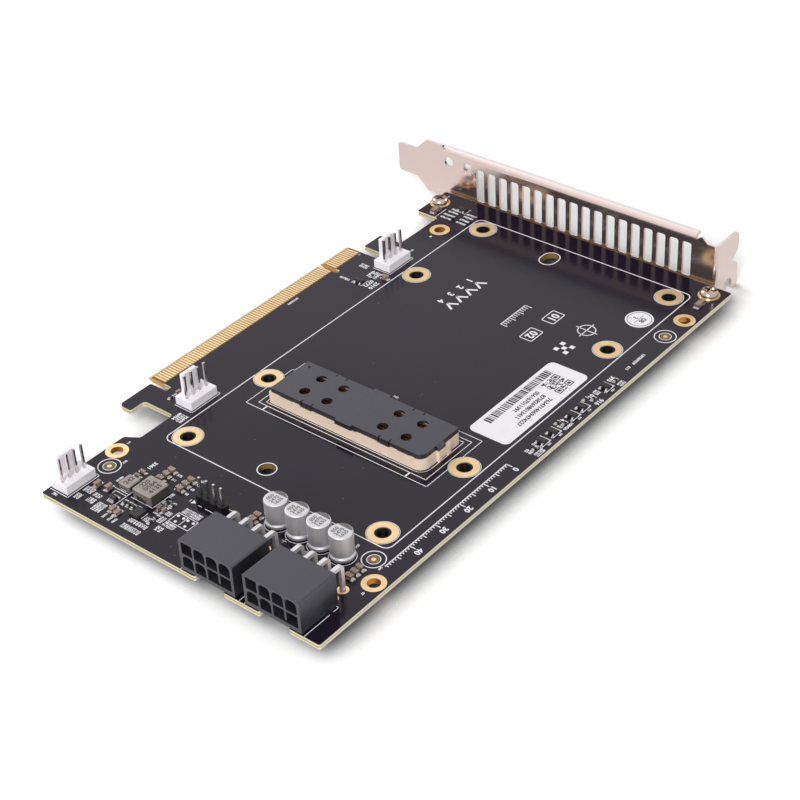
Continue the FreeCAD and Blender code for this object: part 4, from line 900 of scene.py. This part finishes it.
class CARD_OT_finishes(bpy.types.Operator):
    """Give every solid of the card its finish"""

    bl_idname = "card.finishes"
    bl_label = "Finishes"

    def execute(self, context):
        for make in MATERIALS:
            make()
        for row in frame["record"]["subparts"]:
            mesh = frame["nodes"][row["node"]].data
            mesh.materials.clear()
            finish = NODE_MATERIAL.get(row["node"], SLOT_MATERIAL[row["material_slot"]])
            mesh.materials.append(bpy.data.materials[finish])
        return {"FINISHED"}


class CARD_OT_moulded_edges(bpy.types.Operator):
    """Break the sharp edges of the small moulded and fired parts"""

    bl_idname = "card.moulded_edges"
    bl_label = "Moulded edges"

    def execute(self, context):
        for name in ROUNDED_NODES:
            node = frame["nodes"][name]
            weld = node.modifiers.new("Join triangles", "WELD")
            weld.merge_threshold = JOIN_GAP * MM
            low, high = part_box(name)
            share = LOW_PART_SHARE if high.z - low.z < LOW_PART * MM else 1.0
            bevel = node.modifiers.new("Moulded edge", "BEVEL")
            bevel.width = size("edge_round") * MM * share
            bevel.segments = 2
            bevel.limit_method = "ANGLE"
            bevel.angle_limit = SHARP_EDGE
        return {"FINISHED"}


class CARD_OT_outlines(bpy.types.Operator):
    """Print the module outline, the connector frames and the rings round the holes"""

    bl_idname = "card.outlines"
    bl_label = "Printed outlines"

    def execute(self, context):
        film = size("film")
        fine = size("fine_line")
        bm = bmesh.new()
        rounded_line(bm, *MODULE_LINE, size("line"), 0, film)
        rounded_line(bm, *CONNECTOR_LINE, fine, 0, film)
        ribbon(bm, CONNECTOR_FRAME, fine, 0, film)
        # the innermost line's round corner, in steps of ten degrees
        u0, u1, v0, v1, radius = CONNECTOR_HUG
        turns = [math.radians(10 * i) for i in range(10)]
        corner = [(u1 - radius + radius * math.cos(t), v1 - radius + radius * math.sin(t)) for t in turns]
        ribbon(bm, [(u0, v0), (u1, v0)] + corner + [(u0, v1)], fine, 0, film)
        for spec in JOINING_BARS:
            plate(bm, *spec, 0, film)
        piece("printed_outlines", bm, "White screen ink")

        bm = bmesh.new()
        for low, high in islands("module_pads"):
            radius = (high.x - low.x) / 2 + size("ring_gap")
            hoop(bm, *centre(low, high), radius, PAD_RING_WIDTH, 0, film, 64)
        hoop(bm, *LOCATE_HOLE, LOCATE_HOLE_R, LOCATE_WIDTH, 0, film)
        rounded_line(bm, *LOCATE_SLOT, LOCATE_WIDTH, 0, film)
        for name in CANS:
            low, high = islands(name)[0]
            radius = (high.x - low.x) / 2 + CAN_RING_GAP
            hoop(bm, *centre(low, high), radius, CAN_RING_WIDTH, 0, film)
        piece("printed_rings", bm, "White screen ink")
        return {"FINISHED"}


class CARD_OT_targets(bpy.types.Operator):
    """Make the three alignment targets: printed rings, bare window and gold dot"""

    bl_idname = "card.targets"
    bl_label = "Alignment targets"

    def execute(self, context):
        film = size("film")
        rings, window, dots = bmesh.new(), bmesh.new(), bmesh.new()
        for u, v in TARGETS:
            for radius, width in TARGET_RINGS:
                hoop(rings, u, v, radius, width, 0, film)
            disc(window, u, v, TARGET_WINDOW, 0, film / 2)
            disc(dots, u, v, TARGET_DOT, 0, film)
        piece("target_rings", rings, "White screen ink")
        piece("target_windows", window, "Bare glass laminate")
        piece("target_dots", dots, "Satin gold plate")
        return {"FINISHED"}


class CARD_OT_numbers(bpy.types.Operator):
    """Print the part numbers, strokes and part frames on the component face"""

    bl_idname = "card.numbers"
    bl_label = "Printed numbers"

    def execute(self, context):
        draw = random.Random(NUMBER_SEED)
        film = size("film")
        fine = size("fine_line")
        bm = bmesh.new()
        for block in NUMBER_BLOCKS:
            number_block(bm, draw, *block)
        piece("printed_numbers", bm, "White screen ink")

        bm = bmesh.new()
        for u0, v0, u1, v1 in STROKES:
            bar(bm, (u0, v0), (u1, v1), fine, 0, film)
        for u, v in SMALL_FRAMES:
            for u0, u1, v0, v1 in SMALL_FRAME_BARS:
                plate(bm, u + u0, u + u1, v + v0, v + v1, 0, film)
        inner, outer = FAN_LINE
        for name in FAN_HEADERS:
            low, high = islands(name)[0]
            plate(bm, low.x - outer, high.x + outer, high.y + inner, high.y + outer, 0, film)
            plate(bm, high.x + inner, high.x + outer, low.y, high.y + outer, 0, film)
            plate(bm, low.x - outer, low.x - inner, low.y, high.y + outer, 0, film)
        for u, v in CROSSES:
            bar(bm, (u - CROSS_ARM, v), (u + CROSS_ARM, v), fine, 0, film)
            bar(bm, (u, v - CROSS_ARM), (u, v + CROSS_ARM), fine, 0, film)
        disc(bm, *FIRST_PIN, FIRST_PIN_R, 0, film, 3)
        # wiring guide: two halves with three dots each
        u0, u1, v0, v1 = GUIDE
        middle = (v0 + v1) / 2
        rounded_line(bm, *GUIDE, 0, fine, 0, film)
        bar(bm, (u0, middle), (u1, middle), fine, 0, film)
        for v in (v0, middle):
            for du, dv in GUIDE_DOTS:
                disc(bm, u0 + du, v + dv, GUIDE_DOT_R, 0, film, 16)
        piece("printed_strokes", bm, "White screen ink")
        return {"FINISHED"}


class CARD_OT_field_marks(bpy.types.Operator):
    """Print plain marks on the open field: a cross target, number windows, a scale, arrows and a ruler"""

    bl_idname = "card.field_marks"
    bl_label = "Field marks"

    def execute(self, context):
        film = size("film")
        bm = bmesh.new()
        # cross target
        u, v = CROSS_TARGET
        hoop(bm, u, v, CROSS_TARGET_R, FIELD_LINE, 0, film)
        bar(bm, (u - CROSS_TARGET_REACH, v), (u + CROSS_TARGET_REACH, v), FIELD_LINE, 0, film)
        bar(bm, (u, v - CROSS_TARGET_REACH), (u, v + CROSS_TARGET_REACH), FIELD_LINE, 0, film)
        # step squares
        for i in range(STEP_COUNT):
            for j in range(STEP_COUNT):
                if (i + j) % 2 == 0:
                    u, v = STEP_SQUARES[0] + i * STEP_PITCH, STEP_SQUARES[1] + j * STEP_PITCH
                    plate(bm, u, u + STEP_SIDE, v, v + STEP_SIDE, 0, film)
        # number windows
        width, height = WINDOW_SIZE
        for index, (u, v) in enumerate(WINDOWS):
            rounded_line(bm, u, u + width, v, v + height, WINDOW_ROUND, FIELD_LINE, 0, film)
            lettering(bm, "%02d" % (index + 1), u + width / 2, v + height / 2, WINDOW_NUMBER, 0)
        # short scale
        u, v = SCALE_START
        base, fine = SCALE_WIDTHS
        tall, short = SCALE_TICKS
        bar(bm, (u, v), (u + SCALE_LENGTH, v), base, 0, film)
        for i in range(SCALE_LENGTH + 1):
            bar(bm, (u + i, v), (u + i, v + (short if i % SCALE_LONG else tall)), fine, 0, film)
        # arrow row towards the edge contacts
        places = [ARROW_TIP[0] + i * ARROW_PITCH for i in range(ARROW_COUNT)]
        v = ARROW_TIP[1]
        for u in places:
            for side in (-ARROW_HALF, ARROW_HALF):
                bar(bm, (u + side, v + ARROW_HEIGHT), (u, v), ARROW_LINE, 0, film)
        for index, u in enumerate(places):
            lettering(bm, str(index + 1), u, ARROW_NUMBER_V, ARROW_NUMBER, 0)
        # ruler along the top edge
        base, fine = RULER_WIDTHS
        tenth, fifth, other = RULER_TICKS
        bar(bm, (RULER[0], RULER_V), (RULER[1], RULER_V), base, 0, film)
        for i in range(RULER_COUNT):
            tall = tenth if i % 10 == 0 else fifth if i % 5 == 0 else other
            bar(bm, (RULER_FIRST + i, RULER_V), (RULER_FIRST + i, RULER_V + tall), fine, 0, film)
        u, v = RULER_NUMBERS
        for i in range(0, RULER_COUNT, 10):
            lettering(bm, str(i), u + i, v, RULER_NUMBER, 0)
        piece("field_marks", bm, "White screen ink")
        return {"FINISHED"}


class CARD_OT_label_print(bpy.types.Operator):
    """Print the paper label and the round sticker with plain bars, squares and numbers"""

    bl_idname = "card.label_print"
    bl_label = "Label print"

    def execute(self, context):
        draw = random.Random(LABEL_SEED)
        low, high = PAPER_T, PAPER_T + size("film")
        bm = bmesh.new()
        # square of small blocks, which stay clear of its three corner frames by one cell
        near, far = SQUARE_FRAME + 1, SQUARE_COUNT - SQUARE_FRAME - 1
        for i in range(SQUARE_COUNT):
            for j in range(SQUARE_COUNT):
                corner = (i < near and (j < near or j >= far)) or (i >= far and j >= far)
                if not corner and draw.random() < SQUARE_FILL:
                    self.block(bm, i, j, 1, low, high)
        last = SQUARE_COUNT - SQUARE_FRAME
        for i, j in ((0, 0), (0, last), (last, last)):
            u, v = self.cell(i + 0.5, j + 0.5)
            side = (SQUARE_FRAME - 1) * SQUARE_CELL
            rounded_line(bm, u, u + side, v, v + side, 0, SQUARE_CELL, low, high)
            self.block(bm, i + 2, j + 2, SQUARE_FRAME - 4, low, high)
        # bars
        u, u1, v0, v1 = LABEL_BARS
        while u < u1:
            width = draw.choice(BAR_WIDTHS)
            plate(bm, u, u + width, v0, v1, low, high)
            u += width + draw.choice(BAR_GAPS)
        for u, v, count in LABEL_ROWS:
            text = "".join(str(draw.randrange(10)) for _ in range(count))
            lettering(bm, text, u, v, LABEL_NUMBER, low)
        piece("label_print", bm, "Label toner")

        bm = bmesh.new()
        u, v = STICKER
        hoop(bm, u, v, *STICKER_RING, low, high)
        for text, rise, tall in STICKER_NUMBERS:
            lettering(bm, text, u, v + rise, tall, low)
        reach, rise, width = STICKER_STROKE
        bar(bm, (u - reach, v + rise), (u + reach, v + rise), width, low, high)
        piece("sticker_print", bm, "Grey pad ink")
        return {"FINISHED"}

    def cell(self, i, j):
        """Place of the lower corner of a cell in the square."""
        return SQUARE_AT[0] + i * SQUARE_CELL, SQUARE_AT[1] + j * SQUARE_CELL

    def block(self, bm, i, j, count, low, high):
        """Dark block of so many cells a side."""
        u, v = self.cell(i, j)
        side = count * SQUARE_CELL
        plate(bm, u, u + side, v, v + side, low, high)


class CARD_OT_can_marks(bpy.types.Operator):
    """Print the polarity segment and the numbers on the cans, and the numbers on the inductors"""

    bl_idname = "card.can_marks"
    bl_label = "Can and inductor marks"

    def execute(self, context):
        film = size("film")
        bm, cores = bmesh.new(), bmesh.new()
        for name in CANS:
            low, high = islands(name)[0]
            u, v = centre(low, high)
            made = disc(bm, u, v, CAN_MARK_R, high.z, high.z + film, 40)
            faces = set(f for vert in made for f in vert.link_faces)
            edges = set(e for vert in made for e in vert.link_edges)
            cut = bmesh.ops.bisect_plane(
                bm, geom=list(made) + list(edges) + list(faces), plane_co=at(u - CAN_MARK_SIDE, v),
                plane_no=(1, 0, 0), clear_outer=True,
            )["geom_cut"]
            bmesh.ops.edgeloop_fill(bm, edges=[item for item in cut if isinstance(item, bmesh.types.BMEdge)])
            for row, text in enumerate(CAN_ROWS):
                rise = (row - 1) * CAN_ROW_PITCH
                lettering(bm, text, u + CAN_NUMBER_SHIFT, v + rise, CAN_NUMBER, high.z, math.pi)
        for name, rows in CORE_ROWS:
            low, high = islands(name)[0]
            u, v = centre(low, high)
            for row, text in enumerate(rows):
                rise = (row - (len(rows) - 1) / 2) * CORE_ROW_PITCH
                lettering(cores, text, u, v + rise, CORE_NUMBER, high.z, math.pi)
        piece("can_marks", bm, "Grey pad ink")
        piece("inductor_marks", cores, "Laser mark")
        return {"FINISHED"}


class CARD_OT_solder(bpy.types.Operator):
    """Add ring pads, vias, solder at the small parts and joints under the board"""

    bl_idname = "card.solder"
    bl_label = "Solder and pads"

    def execute(self, context):
        film = size("film")
        legs = []
        for name in ("power_pins_1", "power_pins_2"):
            for low, high in islands(name):
                # the leg stands at the pin's front end and is as deep as it is wide
                half = (high.y - low.y) / 2
                legs.append((low.x + half, (low.y + high.y) / 2, half))
        rings = bmesh.new()
        for u, v, _ in legs:
            hoop(rings, u, v, *RING_PAD, 0, film)
        piece("ring_pads", rings, "Satin gold plate")
        vias = bmesh.new()
        for u, v in VIAS:
            disc(vias, u, v, VIA_R, 0, film, 12)
        piece("vias", vias, "Grey pad ink")

        for name in ("fan_pins_1", "fan_pins_2", "fan_pins_3", "pin_header_pins", "capacitor_leads"):
            for low, high in islands(name):
                legs.append((*centre(low, high), (high.x - low.x) / 2))
        joints = bmesh.new()
        for u, v, half in legs:
            lathe(joints, u, v, self.joint_profile(half), 20)
        piece("solder_joints", joints, "Tin plate and solder", True)

        fillets = bmesh.new()
        for name, reach in END_PADS:
            for low, high in islands(name):
                # flat pad that runs out beyond the end, along the part
                deep, wide = high.x - low.x, high.y - low.y
                du, dv = (reach, FILLET_LAP) if deep < wide else (FILLET_LAP, reach)
                plate(fillets, low.x - du, high.x + du, low.y - dv, high.y + dv, 0, 2 * film)
                # solder that climbs the end and narrows to its width
                tall = (high.z - low.z) * FILLET_RISE
                du, dv = FILLET_LAP, FILLET_LAP / 2
                made = plate(fillets, low.x - du, high.x + du, low.y - dv, high.y + dv, 0, tall)
                tops = [vert for vert in made if vert.co.z > at(0, 0, tall / 2).z]
                across = (deep / (deep + 2 * du), wide / (wide + 2 * dv), 1)
                middle = Matrix.Translation(-at(*centre(low, high), tall))
                bmesh.ops.scale(fillets, verts=tops, vec=across, space=middle)
        for name in ("transistor_leads", "controller_leads"):
            for low, high in islands(name):
                u0, u1, v0, v1 = low.x - LEAD_LAP, high.x + LEAD_LAP, low.y - LEAD_LAP, high.y + LEAD_LAP
                plate(fillets, u0, u1, v0, v1, 0, 2 * film)
        piece("solder_fillets", fillets, "Tin plate and solder")
        return {"FINISHED"}

    def joint_profile(self, half):
        """Radius and height corners of the solder round a leg of this half width."""
        foot = size("joint_reach") * (JOINT_SPREAD + half / 2)
        shoulder, neck, tip = JOINT_SHARES
        radii = (foot * shoulder, half * neck, half * tip)
        slope = [(radius, BACK_FACE - drop) for radius, drop in zip(radii, JOINT_DROPS)]
        return [(JOINT_OPEN, BACK_FACE), (foot, BACK_FACE)] + slope + [(JOINT_OPEN, slope[-1][1])]


class CARD_OT_threads(bpy.types.Operator):
    """Cut the look of a thread into the inserts and onto the screw ends"""

    bl_idname = "card.threads"
    bl_label = "Threads"

    def execute(self, context):
        inserts, screws = bmesh.new(), bmesh.new()
        half = size("thread_pitch") / 2
        for low, high in islands("threaded_inserts"):
            self.thread(inserts, *centre(low, high), *INSERT_THREAD, low.z, high.z - half)
        piece("insert_threads", inserts, "Black oxide steel", True)
        for low, high in islands("bracket_screws"):
            self.thread(screws, *centre(low, high), *SCREW_THREAD, low.z, BACK_FACE - SCREW_THREAD_DROP)
        piece("screw_threads", screws, "Plated screw steel", True)
        return {"FINISHED"}

    def thread(self, bm, u, v, foot, painted_highlight_and_rough, low, high):
        """Stacks the ridges of a thread between two heights."""
        pitch = size("thread_pitch")
        half = pitch * RIDGE_SHARE
        z = low + pitch / 2
        while z < high:
            lathe(bm, u, v, ((foot, z - half), (painted_highlight_and_rough, z), (foot, z + half)), 24)
            z += pitch


class CARD_OT_stage(bpy.types.Operator):
    """Set up the floor, the soft light and the camera"""

    bl_idname = "card.stage"
    bl_label = "Stage"

    def execute(self, context):
        scene = context.scene
        scene.view_settings.view_transform = "Standard"
        bm = bmesh.new()
        bmesh.ops.create_grid(bm, x_segments=1, y_segments=1, size=FLOOR_HALF)
        mesh = bpy.data.meshes.new("floor")
        bm.to_mesh(mesh)
        bm.free()
        floor = bpy.data.objects.new("floor", mesh)
        scene.collection.objects.link(floor)
        mesh.materials.append(self.floor_material())
        self.world(scene)
        for name, place, width, power in LAMPS:
            light = bpy.data.lights.new(name, "AREA")
            light.shape = "DISK"
            light.size = width
            light.energy = power
            lamp = bpy.data.objects.new(name, light)
            lamp.location = place
            lamp.rotation_mode = "QUATERNION"
            lamp.rotation_quaternion = (-lamp.location).to_track_quat("-Z", "Y")
            scene.collection.objects.link(lamp)

        # dark card behind the bracket, seen only in reflections: a painted dark reflection on the glossy
        # board
        bm = bmesh.new()
        plate(bm, *DARK_REFLECTION_CARD, 0, DARK_REFLECTION_TOP)
        mesh = bpy.data.meshes.new("flag")
        bm.to_mesh(mesh)
        bm.free()
        flag = bpy.data.objects.new("flag", mesh)
        flag.visible_camera = flag.visible_diffuse = flag.visible_shadow = flag.visible_transmission = False
        scene.collection.objects.link(flag)
        mesh.materials.append(bpy.data.materials["Seal rubber"])

        lens = bpy.data.cameras.new("camera")
        lens.lens = CAMERA_LENS
        lens.sensor_width = CAMERA_SENSOR
        lens.clip_start, lens.clip_end = CAMERA_CLIP
        camera = bpy.data.objects.new("camera", lens)
        right, up = Vector(CAMERA_RIGHT).normalized(), Vector(CAMERA_UP).normalized()
        turn = Matrix((right, up, right.cross(up))).transposed().to_4x4()
        camera.matrix_world = Matrix.Translation(at(*CAMERA_AT)) @ turn
        scene.collection.objects.link(camera)
        scene.camera = camera
        return {"FINISHED"}

    def floor_material(self):
        """Pale floor that reads as white to the camera and in reflections, keeps the lamps' shadow, and gets
        a painted shadow for the camera.
        """
        material = bpy.data.materials.new("Studio floor")
        material.use_nodes = True
        tree = material.node_tree
        tree.nodes.remove(tree.nodes["Principled BSDF"])
        path = add(tree, "LightPath", out=None)
        dull, bright = FLOOR_TONES
        tone = add(tree, "MapRange", {"Value": path["Is Glossy Ray"], "To Min": dull, "To Max": bright})
        plain = add(tree, "BsdfDiffuse", {"Color": tone})
        # painted contact and cast shadow, seen only by the camera on the sides turned away from a soft light
        tones = []
        for reach, light, ramp in SHADOWS:
            aim = add(tree, "CombineXYZ", dict(zip("XYZ", light)))
            cover = add(tree, "AmbientOcclusion", {"Distance": reach, "Normal": aim}, samples=8, out="AO")
            ends = dict(zip(("From Min", "From Max", "To Min", "To Max"), ramp))
            tones.append(add(tree, "MapRange", {"Value": cover, **ends}, interpolation_type="SMOOTHSTEP"))
        both = add(tree, "Math", {0: tones[0], 1: tones[1]}, operation="MULTIPLY")
        shaded = add(tree, "BsdfDiffuse", {"Color": both})
        paint = add(tree, "MixShader", {0: path["Is Camera Ray"], 1: plain, 2: shaded})
        # from below the floor is clear
        below = add(tree, "NewGeometry", out="Backfacing")
        clear = add(tree, "BsdfTransparent")
        mixed = add(tree, "MixShader", {0: below, 1: paint, 2: clear})
        tree.links.new(mixed, tree.nodes["Material Output"].inputs["Surface"])
        return material

    def world(self, scene):
        """White surround for camera and reflections, softer as a light."""
        world = bpy.data.worlds.new("studio")
        world.use_nodes = True
        scene.world = world
        tree = world.node_tree
        path = add(tree, "LightPath", out=None)
        seen = add(tree, "Math", {0: path["Is Camera Ray"], 1: path["Is Glossy Ray"]}, operation="MAXIMUM")
        clear = add(tree, "Math", {0: seen, 1: path["Is Transmission Ray"]}, operation="MAXIMUM")
        soft, full = SURROUND
        strength = add(tree, "MapRange", {"Value": clear, "To Min": soft, "To Max": full})
        back = tree.nodes["Background"]
        back.inputs["Color"].default_value = (1.0, 1.0, 1.0, 1.0)
        tree.links.new(strength, back.inputs["Strength"])


STEPS = (
    CARD_OT_finishes, CARD_OT_moulded_edges, CARD_OT_outlines, CARD_OT_targets, CARD_OT_numbers,
    CARD_OT_field_marks, CARD_OT_label_print, CARD_OT_can_marks, CARD_OT_solder, CARD_OT_threads,
    CARD_OT_stage,
)


class CARD_PT_sidebar(bpy.types.Panel):
    """Colours, sizes and steps of the card"""

    bl_idname = "CARD_PT_sidebar"
    bl_label = "Adapter card"
    bl_space_type = "VIEW_3D"
    bl_region_type = "UI"
    bl_category = "Card"

    def draw(self, context):
        for group in (context.scene.card_colours, context.scene.card_sizes):
            column = self.layout.column()
            for name in group.__annotations__:
                column.prop(group, name)
        for step in STEPS:
            self.layout.operator(step.bl_idname)


CLASSES = (CardColours, CardSizes) + STEPS + (CARD_PT_sidebar,)


def register():
    for item in CLASSES:
        bpy.utils.register_class(item)
    bpy.types.Scene.card_colours = PointerProperty(type=CardColours)
    bpy.types.Scene.card_sizes = PointerProperty(type=CardSizes)


def unregister():
    del bpy.types.Scene.card_sizes
    del bpy.types.Scene.card_colours
    for item in reversed(CLASSES):
        bpy.utils.unregister_class(item)


def main():
    register()
    for step in STEPS:
        group, name = step.bl_idname.split(".")
        getattr(getattr(bpy.ops, group), name)()


if __name__ == "__main__":
    main()
